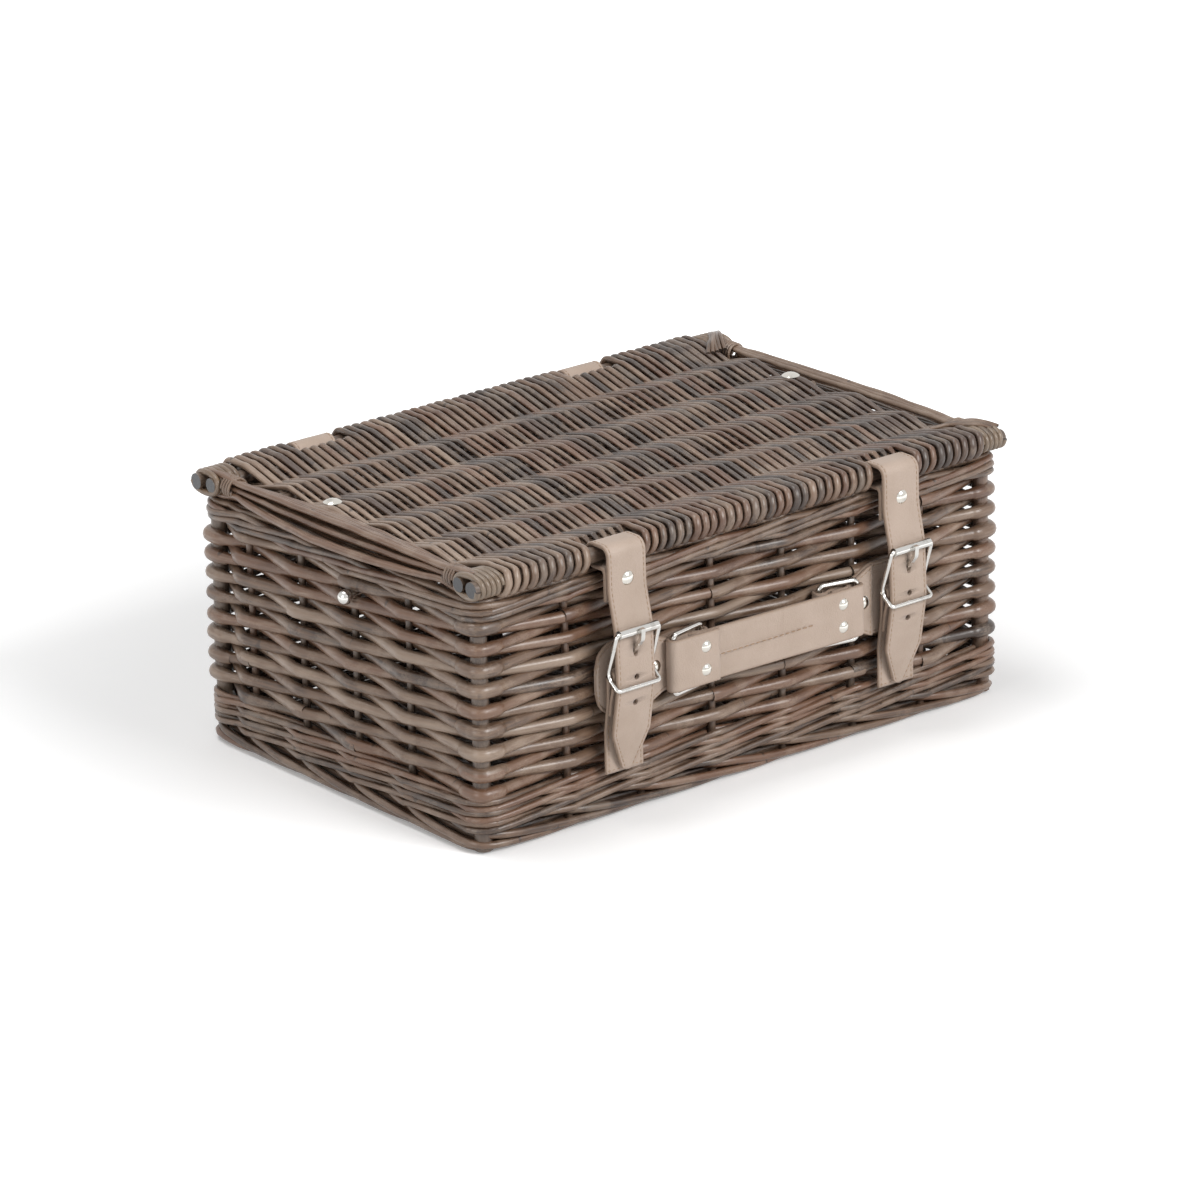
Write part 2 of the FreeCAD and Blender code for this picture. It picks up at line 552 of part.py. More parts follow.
def make_backing(side):
    """The strap on the wall that holds the buckle: it folds round the buckle's middle bar."""
    skin = size("backing_thickness")
    bend = WIRE + 0.25 + skin / 2
    wall = FRONT - size("wale_swell") - GAP - skin / 2
    knee, neck, end = size("backing_knee"), size("backing_neck"), size("backing_end")
    upper = PIVOT[0] + bend + GAP
    front_end = wall + (upper - wall) * (end - knee) / (neck - knee) - skin - 1.5 * GAP
    path = [(wall, size("backing_foot")), (wall, knee), (upper, neck),
            (PIVOT[0] + bend, PIVOT[1] + bend), (PIVOT[0] - bend, PIVOT[1] + bend),
            (PIVOT[0] - bend, PIVOT[1] - 3),
            (upper - skin - 1.5 * GAP, neck), (front_end, end)]
    radii = [0, 12, 12, bend, bend, 6, 10, 0]
    strip = padded(f"{side}_backing_strip", "YZ", strip_edges(path, radii, skin), "Sizes.strap_width",
                   f"Sizes.hardware_shift + {MIRROR[side]} * Sizes.strap_spacing / 2 - Sizes.strap_width / 2")
    place, half = STRAP_PLACES[side], size("prong_slot") / 2
    slot = block(f"{side}_prong_slot", (place - half, PIVOT[0] - 8, PIVOT[1] - 6),
                 (place + half, PIVOT[0] + 8, PIVOT[1] + 8))
    pin_height = size("backing_rivet_height")
    hole = rod(f"{side}_backing_hole", "Sizes.rivet_shank", str(TOOL_REACH),
               (place, FRONT + 5, pin_height), (0, -1, 0))
    keep(cut(f"{side}_backing_cut", strip, [slot, hole]), f"buckle_backing_{side}")
    return domed_pin(f"{side}_backing_pin", (place, wall - skin / 2, pin_height), (0, -1, 0),
                     size("rivet_radius"), size("rivet_dome"), PIN_SHANK, FRONT - wall + skin / 2, 0)


def make_buckle(side):
    """The bent wire frame with its three cross bars, the roller on the top bar and the prong."""
    place, half = STRAP_PLACES[side], BUCKLE_HALF
    radius = "Sizes.wire_diameter / 2"
    parts = []
    for name, (y, z) in (("top", ROLLER), ("middle", PIVOT), ("keeper", KEEPER)):
        parts.append(wire_run(f"{side}_{name}_bar", radius, (place - half, y, z), (place + half, y, z)))
        for sign in (-1, 1):
            parts.append(ball(f"{side}_{name}_corner_{sign + 1}", radius, (place + sign * half, y, z)))
    for sign in (-1, 1):
        x = place + sign * half
        parts.append(wire_run(f"{side}_upper_arm_{sign + 1}", radius, (x, *PIVOT), (x, *ROLLER)))
        parts.append(wire_run(f"{side}_lower_arm_{sign + 1}", radius, (x, *PIVOT), (x, *KEEPER)))
    keep(joined(f"{side}_frame", parts), f"buckle_frame_{side}")
    length = 2 * (BUCKLE_HALF - WIRE - GAP)
    tube = wire_run(f"{side}_roller_tube", "Sizes.roller_diameter / 2", (place - length / 2, *ROLLER),
                    (place + length / 2, *ROLLER))
    bore = wire_run(f"{side}_roller_bore", "Sizes.wire_diameter / 2 + Sizes.roller_clearance",
                    (place - length, *ROLLER), (place + length, *ROLLER))
    keep(cut(f"{side}_roller", tube, [bore]), f"buckle_roller_{side}")
    make_prong(side, place)


def make_prong(side, place):
    """The prong: an eye on the middle bar and a bent tongue that rests on the roller."""
    width = size("prong_width") / 2
    outer = WIRE + size("roller_clearance") + size("prong_eye_wall")
    clear = size("roller_diameter") / 2 + size("prong_thickness") / 2 + 0.12
    path = [(PIVOT[0] - 1.0, PIVOT[1] + 2.2), (PIVOT[0] - 2.3, SLOT_LOW),
            (ROLLER[0] - clear + 0.5, ROLLER[1] - 4), (ROLLER[0] - clear - 0.1, ROLLER[1] + 1.8)]
    edges = strip_edges(path, [0, 4, 3, 0], size("prong_thickness"))
    tongue = padded(f"{side}_tongue", "YZ", edges, "Sizes.prong_width", f"{place - width}")
    eye = wire_run(f"{side}_eye", "1", (place - width, *PIVOT), (place + width, *PIVOT))
    eye.setExpression("Radius", None)
    eye.Radius = outer
    bore = wire_run(f"{side}_eye_bore", "Sizes.wire_diameter / 2 + Sizes.roller_clearance",
                    (place - 2 * width, *PIVOT), (place + 2 * width, *PIVOT))
    keep(cut(f"{side}_prong", joined(f"{side}_prong_blank", [tongue, eye]), [bore]), f"buckle_prong_{side}")


# ---------------------------------------------------------------- handle

RING = size("ring_wire") / 2
ANCHOR = size("anchor_thickness")
ANCHOR_LINE = FRONT - ANCHOR / 2
RING_PIVOT = ANCHOR_LINE - ANCHOR / 2 - GAP - RING
RING_OUTER = RING_PIVOT - size("handle_rise")
RING_FAR = size("ring_pivot_place") + size("ring_span")
HANDLE = size("handle_thickness")
FOLD = RING + GAP + HANDLE / 2


def across(side, distance):
    """The X of a place so far out from the middle of the handle."""
    return size("hardware_shift") + MIRROR[side] * distance


def make_anchor(side):
    """The leather piece on the wall behind the buckle: its tab folds round the ring's pivot bar."""
    near, far = size("ring_pivot_place"), size("strap_spacing") / 2 + 15.2
    bend = RING + GAP + ANCHOR / 2
    low = RING_PIVOT - bend
    path = [(far, ANCHOR_LINE), (near - bend, ANCHOR_LINE), (near - bend, low), (near + 2, low),
            (near + 10, ANCHOR_LINE - ANCHOR - LAYER_GAP), (near + 37, ANCHOR_LINE - ANCHOR - LAYER_GAP)]
    points = [(across(side, s), y) for s, y in path]
    edges = strip_edges(points, [0, bend, bend, 4, 4, 0], ANCHOR)
    half, tab, middle = size("anchor_height") / 2, size("tab_height") / 2, size("hardware_height")
    strip = padded(f"{side}_anchor_strip", "XY", edges, "Sizes.anchor_height",
                   "Sizes.hardware_height - Sizes.anchor_height / 2")
    taper = [(near - 8, tab), (near + 22, tab), (near + 38, half),
             (near + 38, half + 2), (near - 8, half + 2)]
    corner = [(far + 1, half - 14), (far - 4, half - 6), (far - 13, half),
              (far - 13, half + 2), (far + 1, half + 2)]
    tools = []
    for index, outline in enumerate((taper, corner)):
        for sign in (-1, 1):
            shape = loop_edges([(across(side, s), middle + sign * z) for s, z in outline])
            tools.append(padded(f"{side}_trim_{index}_{sign + 1}", "XZ", shape, str(TOOL_REACH),
                                f"-Sizes.body_width / 2 - {TOOL_REACH}"))
    pin_place = across(side, size("anchor_rivet_place"))
    tools.append(rod(f"{side}_anchor_hole", "Sizes.rivet_shank", str(TOOL_REACH),
                     (pin_place, FRONT + 5, middle), (0, -1, 0)))
    keep(cut(f"{side}_anchor_cut", strip, tools), f"handle_anchor_{side}")
    head = ANCHOR_LINE - 1.5 * ANCHOR - LAYER_GAP
    return domed_pin(f"{side}_anchor_pin", (pin_place, head, middle), (0, -1, 0), size("rivet_radius"),
                     size("rivet_dome"), PIN_SHANK, FRONT - head, 0)


def make_ring(side):
    """A bent wire ring: its near bar turns in the anchor's tab and its far bar holds the handle."""
    near, far = across(side, size("ring_pivot_place")), across(side, RING_FAR)
    middle, half = size("hardware_height"), size("ring_height") / 2
    corners = [(near, RING_PIVOT, middle - half), (far, RING_OUTER, middle - half),
               (far, RING_OUTER, middle + half), (near, RING_PIVOT, middle + half)]
    parts = []
    for i, start in enumerate(corners):
        parts.append(wire_run(f"{side}_ring_side_{i}", "Sizes.ring_wire / 2", start, corners[(i + 1) % 4]))
        parts.append(ball(f"{side}_ring_corner_{i}", "Sizes.ring_wire / 2", start))
    keep(joined(f"{side}_ring_wire", parts), f"ring_{side}")


def make_handle():
    """The grip: one strip folded forwards round the left ring and backwards round the right ring."""
    front, back = RING_OUTER - FOLD, RING_OUTER + FOLD
    closed = front + HANDLE + LAYER_GAP
    path = [(across("left", RING_FAR - 28), front), (across("left", RING_FAR + FOLD), front),
            (across("left", RING_FAR + FOLD), back), (across("left", RING_FAR - 11.5), back),
            (across("left", RING_FAR - 15), closed), (across("left", RING_FAR - 30), closed),
            (across("right", RING_FAR - 24), front), (across("right", RING_FAR + FOLD), front),
            (across("right", RING_FAR + FOLD), back), (across("right", RING_FAR - 3.5), back),
            (across("right", RING_FAR - 7), closed), (across("right", RING_FAR - 18), closed)]
    edges = strip_edges(path, [0, FOLD, FOLD, 1.5, 1.5, 15, 15, FOLD, FOLD, 1.5, 1.5, 0], HANDLE)
    strip = padded("grip_strip", "XY", edges, "Sizes.handle_height",
                   "Sizes.hardware_height - Sizes.handle_height / 2")
    pins, holes = [], []
    for side, inward in (("left", 19.0), ("right", 12.0)):
        x = across(side, RING_FAR - inward)
        for sign in (-1, 1):
            z = size("hardware_height") + sign * 6.3
            holes.append(rod(f"{side}_grip_hole_{sign + 1}", "Sizes.rivet_shank", str(TOOL_REACH),
                             (x, FRONT + 2, z), (0, -1, 0)))
            pins.append(domed_pin(f"{side}_grip_pin_{sign + 1}", (x, front - HANDLE / 2, z), (0, -1, 0),
                                  size("rivet_radius") - 0.5, size("rivet_dome"), PIN_SHANK,
                                  2 * HANDLE + LAYER_GAP, LAYER_GAP))
    keep(cut("grip_cut", strip, holes), "handle_strip")
    keep(group("grip_pins", pins), "handle_rivets")


# ---------------------------------------------------------------- lid stays

def make_stays():
    """A leather stay inside each end, its ball-headed stud in the wall and its domed stud in the lid."""
    lid_studs, side_studs = [], []
    underside = LID_MIDDLE - size("lid_field_thickness") / 2
    skin = size("stay_thickness")
    pin = (size("side_stud_place"), size("side_stud_height"))
    bend = size("stud_shank") / 2 + GAP + skin / 2
    seat = underside - GAP - skin / 2
    path = [(pin[0] + 4, pin[1] + bend), (pin[0] - bend, pin[1] + bend), (pin[0] - bend, pin[1] - bend),
            (pin[0] + 9, pin[1] - bend), (20, 70), (50, 72), (82, 97), (70, seat - 12), (44, seat),
            (size("lid_stud_place") - 7, seat)]
    radii = [0, bend, bend, 6, 14, 16, 12, 12, 12, 0]
    for side, sign in MIRROR.items():
        place = sign * size("stay_place")
        strip = padded(f"{side}_stay_strip", "YZ", strip_edges(path, radii, skin), "Sizes.stay_width",
                       f"{sign} * Sizes.stay_place - Sizes.stay_width / 2")
        hole = rod(f"{side}_stay_hole", "Sizes.stud_shank / 2 + Sizes.rod_clearance", "20",
                   (place, size("lid_stud_place"), seat - 10), (0, 0, 1))
        keep(cut(f"{side}_stay_cut", strip, [hole]), f"lid_stay_{side}")
        top = LID_MIDDLE + size("lid_field_thickness") / 2
        lid_studs.append(domed_pin(f"{side}_lid_stud", (place, size("lid_stud_place"), top), (0, 0, 1),
                                   size("lid_stud_radius"), size("lid_stud_dome"), size("stud_shank") / 2,
                                   size("lid_field_thickness") + GAP + skin, 0.8))
        outside = sign * (LENGTH / 2 + 3.8)
        inside = sign * (size("stay_place") - size("stay_width") / 2 - 0.6)
        shank = wire_run(f"{side}_stud_shank", "Sizes.stud_shank / 2", (outside, *pin), (inside, *pin))
        knob = ball(f"{side}_stud_ball", "Sizes.stud_ball / 2", (outside, *pin))
        flange = wire_run(f"{side}_stud_cap", "Sizes.stud_shank / 2 + 1.5", (inside, *pin),
                          (inside - sign * 1.2, *pin))
        side_studs.append(joined(f"{side}_stud", [shank, knob, flange]))
    keep(group("lid_stud_pair", lid_studs), "stay_lid_studs")
    keep(group("side_stud_pair", side_studs), "stay_side_studs")


# ---------------------------------------------------------------- the whole basket

def check_and_write():
    """Stop on any failed object or bad shape, then write one file for each node."""
    doc.recompute()
    failed = [item.Name for item in doc.Objects if {"Invalid", "Error"} & set(item.State)]
    if failed:
        raise RuntimeError("failed objects: " + ", ".join(failed))
    for item in nodes:
        if item.Shape.isNull() or not item.Shape.isValid():
            raise RuntimeError("bad shape: " + item.Label)
    os.makedirs("parts", exist_ok=True)
    for item in nodes:
        item.Shape.exportStep(os.path.join("parts", item.Label + ".step"))
        box = item.Shape.BoundBox
        print(f"{item.Label:24s} solids {len(item.Shape.Solids):2d} volume {item.Shape.Volume / 1000:8.2f} cm3"
              f"  z {box.ZMin:6.1f} {box.ZMax:6.1f}")


make_body()
make_lid()
make_hinge_loops()
backing_pins, anchor_pins = [], []
for hand in MIRROR:
    make_strap(hand)
    backing_pins.append(make_backing(hand))
    make_buckle(hand)
    anchor_pins.append(make_anchor(hand))
    make_ring(hand)
keep(group("backing_pins", backing_pins), "buckle_backing_rivets")
keep(group("anchor_pins", anchor_pins), "handle_anchor_rivets")
make_handle()
make_stays()
check_and_write()
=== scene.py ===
"""A wicker picnic basket: woven walls and lid, leather straps with roller buckles, a ringed handle, lid stays."""

import logging
import math
import random
from dataclasses import dataclass, field
from enum import Enum
from functools import cache
from typing import Callable, ClassVar, Optional, Sequence

import bmesh
import bpy
from mathutils import Matrix, Vector


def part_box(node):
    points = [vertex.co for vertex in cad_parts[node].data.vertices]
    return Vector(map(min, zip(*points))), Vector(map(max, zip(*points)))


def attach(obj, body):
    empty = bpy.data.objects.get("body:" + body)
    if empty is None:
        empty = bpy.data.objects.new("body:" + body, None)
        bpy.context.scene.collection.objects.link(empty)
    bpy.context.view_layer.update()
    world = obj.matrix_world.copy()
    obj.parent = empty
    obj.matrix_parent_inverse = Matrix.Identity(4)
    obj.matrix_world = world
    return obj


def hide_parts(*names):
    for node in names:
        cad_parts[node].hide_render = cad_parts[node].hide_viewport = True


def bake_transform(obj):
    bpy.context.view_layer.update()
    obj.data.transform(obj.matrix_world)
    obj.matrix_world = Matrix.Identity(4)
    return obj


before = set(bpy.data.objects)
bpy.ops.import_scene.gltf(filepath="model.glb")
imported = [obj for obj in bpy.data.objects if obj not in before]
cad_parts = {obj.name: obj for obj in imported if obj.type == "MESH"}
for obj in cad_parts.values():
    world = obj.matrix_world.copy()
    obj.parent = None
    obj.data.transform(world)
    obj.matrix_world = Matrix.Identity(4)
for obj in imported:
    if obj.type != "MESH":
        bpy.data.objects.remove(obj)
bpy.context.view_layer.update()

Piece = bpy.types.Object
Material = bpy.types.Material
Mesh = bpy.types.Mesh
Node = bpy.types.Node
Socket = bpy.types.NodeSocket
Tree = bpy.types.NodeTree
Point2 = tuple[float, float]
Line = list[tuple[Vector, float]]  # points, each with its swell

LOG = logging.getLogger("basket")
MM = 0.001
SIGN = {"left": -1, "right": 1}
DRIFT = 0.09  # how far a rod's tone may drift along it
STICK_RADII = (4.5, 4.0)  # the lid's outer and inner edge sticks


def span(node: str, axis: int) -> Point2:
    """A CAD node's lowest and highest place along an axis, in millimetres to a tenth."""
    return tuple(round(corner[axis] / MM, 1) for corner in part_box(node))


def centre_of(node: str, axis: int) -> float:
    """The middle of a CAD node along an axis, in millimetres to a tenth."""
    return round(sum(corner[axis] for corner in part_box(node)) / 2 / MM, 1)


# Shared places, in millimetres: X along the length, -Y the front, Z up.
FRONT = span("rim_border", 1)[0]
WALE_FLOOR, WEAVE_FLOOR = span("foot_wale", 2)
RIM_FLOOR, RIM_TOP = span("rim_border", 2)
LID_MIDDLE = centre_of("lid_front_bar", 2)
OUTER_STICK = round(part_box("lid_back_bar")[1].y / MM - STICK_RADII[0], 1)
INNER_STICK = round(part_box("lid_back_bar")[0].y / MM + STICK_RADII[1], 1)
STRAP_PLACES = {side: centre_of(f"strap_{side}", 0) for side in SIGN}
LOOP_PLACES = {side: centre_of(f"hinge_loop_{side}", 0) for side in SIGN}
HARDWARE_HEIGHT = centre_of("handle_strip", 2)


class Slot(Enum):
    """Names of the record's material slots, one for each finish of the new pieces."""

    WEAVE = "willow_weave"
    STICK = "willow_stick"
    CANE = "cane"
    LEATHER = "leather"
    CHROME = "chrome"
    NICKEL = "nickel"


class Plane(Enum):
    """The plane that a leather strip's path lies in."""

    SIDE = "YZ"
    TOP = "XY"


# ---------------------------------------------------------------- trees of nodes

class Graph:
    """Adds nodes to one tree and wires them up as it goes."""

    def __init__(self, tree: Tree) -> None:
        """Start on an empty tree."""
        self.tree = tree
        tree.nodes.clear()

    def add(self, kind: str, settings: Optional[dict] = None, **inputs: object) -> Node:
        """Add one node.

        Args:
            kind: The node's type name.
            settings: Properties of the node itself.
            inputs: A value or a socket for each input, by name with _ for a space, or in_0 for a place.

        Returns:
            The new node.
        """
        node = self.tree.nodes.new(kind)
        for name, value in (settings or {}).items():
            setattr(node, name, value)
        for name, value in inputs.items():
            key = int(name[3:]) if name.startswith("in_") else name.replace("_", " ")
            self.wire(node.inputs[key], value)
        return node

    def wire(self, socket: Socket, value: object) -> None:
        """Link a socket, or set its value."""
        if isinstance(value, Socket):
            self.tree.links.new(value, socket)
        else:
            socket.default_value = value

    def math(self, operation: str, *values: object) -> Socket:
        """One sum on numbers.

        Args:
            operation: The Math node's operation.
            values: Its operands, numbers or sockets.

        Returns:
            The result's socket.
        """
        return self.sum_of("ShaderNodeMath", operation, values)

    def vector(self, operation: str, *values: object) -> Socket:
        """One sum on vectors.

        Args:
            operation: The Vector Math node's operation.
            values: Its operands, vectors or sockets.

        Returns:
            The result's socket.
        """
        return self.sum_of("ShaderNodeVectorMath", operation, values)

    def sum_of(self, kind: str, operation: str, values: Sequence[object]) -> Socket:
        """The first output of a node that works on several values."""
        return self.add(kind, {"operation": operation}, **{f"in_{i}": v for i, v in enumerate(values)}).outputs[0]

    def mark(self, name: str, output: str = "Fac") -> Socket:
        """A named attribute of the surface."""
        return self.add("ShaderNodeAttribute", {"attribute_name": name}).outputs[output]

    def noise(self, vector: Socket, scale: float, detail: float = 2.0) -> Socket:
        """A noise value from 0 to 1.

        Args:
            vector: Where it is read.
            scale: How many lumps there are to a metre.
            detail: How many finer layers it has.

        Returns:
            The value's socket.
        """
        return self.add("ShaderNodeTexNoise", Vector=vector, Scale=scale, Detail=detail).outputs[0]

    def step(self, value: Socket, low: float, high: float) -> Socket:
        """A smooth rise from 0 to 1.

        Args:
            value: What it depends on.
            low: Where it is still 0.
            high: Where it has come to 1.

        Returns:
            The socket of the rise.
        """
        node = self.add("ShaderNodeMapRange", {"interpolation_type": "SMOOTHSTEP"}, Value=value)
        node.inputs["From Min"].default_value = low
        node.inputs["From Max"].default_value = high
        return node.outputs["Result"]

    def blend(self, factor: object, first: object, second: object) -> Socket:
        """A mix of two colours.

        Args:
            factor: 0 for the first and 1 for the second.
            first: A colour or its socket.
            second: A colour or its socket.

        Returns:
            The mixed colour's socket.
        """
        node = self.add("ShaderNodeMix", {"data_type": "RGBA"})
        for place, value in ((0, factor), (6, first), (7, second)):
            self.wire(node.inputs[place], value)
        return node.outputs[2]


def tint(red: float, green: float, blue: float) -> tuple[float, float, float, float]:
    """A colour written as it looks on a screen, 0 to 255, as the scene's own linear values."""
    linear = [((c / 255 + 0.055) / 1.055) ** 2.4 if c > 10 else c / 255 / 12.92 for c in (red, green, blue)]
    return (*linear, 1.0)


def new_group(name: str, inputs: Sequence[tuple[str, str, object]], outputs: Sequence[tuple[str, str]],
              kind: str = "ShaderNodeTree") -> tuple[Tree, Graph, Node]:
    """A node group with named sockets.

    Args:
        name: The group's name.
        inputs: Each input's name, socket type and default value.
        outputs: Each output's name and socket type.
        kind: The tree's type.

    Returns:
        The tree, its graph and the node that gives its inputs.
    """
    tree = bpy.data.node_groups.new(name, kind)
    for label, socket, value in inputs:
        made = tree.interface.new_socket(name=label, in_out="INPUT", socket_type=socket)
        if value is not None:
            made.default_value = value
    for label, socket in outputs:
        tree.interface.new_socket(name=label, in_out="OUTPUT", socket_type=socket)
    graph = Graph(tree)
    return tree, graph, graph.add("NodeGroupInput")


class Effects:
    """The shader groups that several finishes share, each built once."""

    @staticmethod
    @cache
    def willow() -> Tree:
        """Colour, roughness and height of a willow rod's skin, streaked along the rod.

        Returns:
            The group.
        """
        colour = "NodeSocketColor"
        tree, g, given = new_group(
            "willow skin",
            [*((label, colour, None) for label in ("Dark", "Middle", "Red", "Pale", "End")),
             ("Wash", "NodeSocketFloat", 0.5)],
            [("Color", colour), ("Roughness", "NodeSocketFloat"), ("Height", "NodeSocketFloat")])
        tone, hue, end = (g.mark(name) for name in ("rod_tone", "rod_hue", "rod_end"))
        grain = g.mark("rod_grain", "Vector")
        place = g.add("ShaderNodeTexCoord").outputs["Object"]
        streaks = g.noise(g.vector("MULTIPLY", grain, (1.0, 1.0, 0.07)), 1100.0, 3.0)
        lengths = g.noise(g.vector("MULTIPLY", grain, (0.3, 0.3, 1.0)), 45.0, 2.0)
        pores = g.noise(g.vector("MULTIPLY", grain, (1.0, 1.0, 0.35)), 2300.0, 2.0)
        patches = g.noise(place, 70.0, 3.0)
        level = g.math("ADD", tone, g.math("MULTIPLY", g.math("SUBTRACT", streaks, 0.5), 0.95))
        level = g.math("ADD", level, g.math("MULTIPLY", g.math("SUBTRACT", lengths, 0.5), 0.7))
        skin = g.blend(g.step(level, 0.0, 0.5), given.outputs["Dark"], given.outputs["Middle"])
        skin = g.blend(g.math("MULTIPLY", g.step(hue, 0.25, 1.0), 0.8), skin, given.outputs["Red"])
        pale = g.math("MULTIPLY", g.step(level, 0.45, 1.05), given.outputs["Wash"])
        skin = g.blend(pale, skin, given.outputs["Pale"])
        wash = g.math("MULTIPLY", g.step(g.math("ADD", patches, g.math("MULTIPLY", pores, 0.4)), 0.66, 0.86),
                      given.outputs["Wash"])
        skin = g.blend(g.math("MULTIPLY", wash, 0.55), skin, given.outputs["Pale"])
        knots = g.step(g.noise(g.vector("MULTIPLY", grain, (0.5, 0.5, 1.0)), 160.0, 1.0), 0.70, 0.76)
        skin = g.blend(g.math("MULTIPLY", knots, 0.75), skin, given.outputs["Dark"])
        skin = g.blend(end, skin, given.outputs["End"])
        rough = g.math("ADD", 0.28, g.math("MULTIPLY", pores, 0.25))
        height = g.math("ADD", g.math("MULTIPLY", streaks, 0.6), g.math("MULTIPLY", pores, 0.4))
        height = g.math("SUBTRACT", height, g.math("MULTIPLY", knots, 0.6))
        g.add("NodeGroupOutput", Color=skin, Roughness=rough, Height=height)
        return tree

    @staticmethod
    @cache
    def leather() -> Tree:
        """Colour, roughness and height of grained leather, darker at its cut edges.

        Returns:
            The group.
        """
        colour = "NodeSocketColor"
        tree, g, given = new_group(
            "leather skin", [(label, colour, None) for label in ("Face", "Shade", "Edge")],
            [("Color", colour), ("Roughness", "NodeSocketFloat"), ("Height", "NodeSocketFloat")])
        place = g.add("ShaderNodeTexCoord").outputs["Object"]
        edge = g.mark("strip_edge")
        pebble = g.add("ShaderNodeTexVoronoi", Vector=place, Scale=1150.0).outputs["Distance"]
        fine = g.noise(place, 2600.0, 3.0)
        cloud = g.noise(place, 55.0, 4.0)
        scuffs = g.step(g.noise(g.vector("MULTIPLY", place, (1.0, 1.0, 0.4)), 260.0, 4.0), 0.58, 0.75)
        skin = g.blend(g.step(cloud, 0.3, 0.75), given.outputs["Face"], given.outputs["Shade"])
        skin = g.blend(g.math("MULTIPLY", g.step(pebble, 0.25, 0.6), 0.22), skin, given.outputs["Shade"])
        skin = g.blend(g.math("MULTIPLY", scuffs, 0.18), skin, given.outputs["Edge"])
        skin = g.blend(edge, skin, given.outputs["Edge"])
        rough = g.math("ADD", 0.46, g.math("MULTIPLY", cloud, 0.18))
        height = g.math("ADD", g.math("MULTIPLY", pebble, -0.8), g.math("MULTIPLY", fine, 0.3))
        g.add("NodeGroupOutput", Color=skin, Roughness=rough, Height=height)
        return tree

    @staticmethod
    @cache
    def scratches() -> Tree:
        """Roughness and height of plated metal with fine wear.

        Returns:
            The group.
        """
        tree, g, given = new_group("plating wear", [("Polish", "NodeSocketFloat", 0.12)],
                                   [("Wear", "NodeSocketFloat"), ("Roughness", "NodeSocketFloat"),
                                    ("Height", "NodeSocketFloat")])
        place = g.add("ShaderNodeTexCoord").outputs["Object"]
        cloud = g.noise(place, 180.0, 4.0)
        hairs = g.noise(g.vector("MULTIPLY", place, (0.25, 1.0, 1.0)), 3200.0, 2.0)
        wear = g.step(cloud, 0.52, 0.78)
        rough = g.math("ADD", given.outputs["Polish"], g.math("MULTIPLY", wear, 0.14))
        rough = g.math("ADD", rough, g.math("MULTIPLY", g.step(hairs, 0.6, 0.8), 0.10))
        g.add("NodeGroupOutput", Wear=wear, Roughness=rough, Height=hairs)
        return tree


# ---------------------------------------------------------------- finishes

@dataclass(frozen=True)
class Finish:
    """What every finish has: a name, and a way to build its material."""

    name: str

    def start(self) -> tuple[Material, Graph]:
        """An empty material and its graph."""
        material = bpy.data.materials.new(self.name)
        material.use_nodes = True
        return material, Graph(material.node_tree)

    def close(self, g: Graph, colour: object, roughness: object, height: Optional[Socket],
              depth: float, **constants: object) -> Node:
        """Add the shader, its bump and the output.

        Args:
            g: The material's graph.
            colour: The base colour or its socket.
            roughness: The roughness or its socket.
            height: The bump's height, or None for a smooth surface.
            depth: How deep the bump is, in metres.
            constants: Other inputs of the shader, set on its own sockets.

        Returns:
            The shader's node.
        """
        shader = g.add("ShaderNodeBsdfPrincipled", Base_Color=colour, Roughness=roughness)
        for label, value in constants.items():
            shader.inputs[label.replace("_", " ")].default_value = value
        if height is not None:
            bump = g.add("ShaderNodeBump", Height=height, Distance=depth, Strength=1.0)
            g.wire(shader.inputs["Normal"], bump.outputs["Normal"])
        g.add("ShaderNodeOutputMaterial", Surface=shader.outputs["BSDF"])
        return shader


@dataclass(frozen=True)
class WillowFinish(Finish):
    """Stained willow with a pale antique wash."""

    dark: tuple = tint(52, 38, 29)
    middle: tuple = tint(108, 84, 66)
    red: tuple = tint(116, 78, 55)
    pale: tuple = tint(170, 150, 132)
    end: tuple = tint(62, 52, 46)
    wash: float = 0.5

    def build(self) -> Material:
        """Build the material.

        Returns:
            The willow material.
        """
        material, g = self.start()
        skin = g.add("ShaderNodeGroup", {"node_tree": Effects.willow()}, Dark=self.dark, Middle=self.middle,
                     Red=self.red, Pale=self.pale, End=self.end, Wash=self.wash)
        self.close(g, skin.outputs["Color"], skin.outputs["Roughness"], skin.outputs["Height"], 0.00028,
                   Coat_Weight=0.45, Coat_Roughness=0.34)
        return material


@dataclass(frozen=True)
class LeatherFinish(Finish):
    """Cream leather with a fine pebble grain."""

    face: tuple = tint(180, 161, 147)
    shade: tuple = tint(171, 152, 137)
    edge: tuple = tint(152, 130, 113)

    def build(self) -> Material:
        """Build the material.

        Returns:
            The leather material.
        """
        material, g = self.start()
        skin = g.add("ShaderNodeGroup", {"node_tree": Effects.leather()}, Face=self.face, Shade=self.shade,
                     Edge=self.edge)
        self.close(g, skin.outputs["Color"], skin.outputs["Roughness"], skin.outputs["Height"], 0.00016,
                   Sheen_Weight=0.08)
        return material


@dataclass(frozen=True)
class ThreadFinish(Finish):
    """Waxed sewing thread with a twist."""

    colour: tuple = tint(176, 148, 122)
    dark: tuple = tint(140, 112, 88)

    def build(self) -> Material:
        """Build the material.

        Returns:
            The thread material.
        """
        material, g = self.start()
        place = g.add("ShaderNodeTexCoord").outputs["Object"]
        bands = {"bands_direction": "DIAGONAL"}
        twist = g.add("ShaderNodeTexWave", bands, Vector=place, Scale=900.0).outputs[0]
        skin = g.blend(twist, self.colour, self.dark)
        self.close(g, skin, 0.6, twist, 0.00008)
        return material


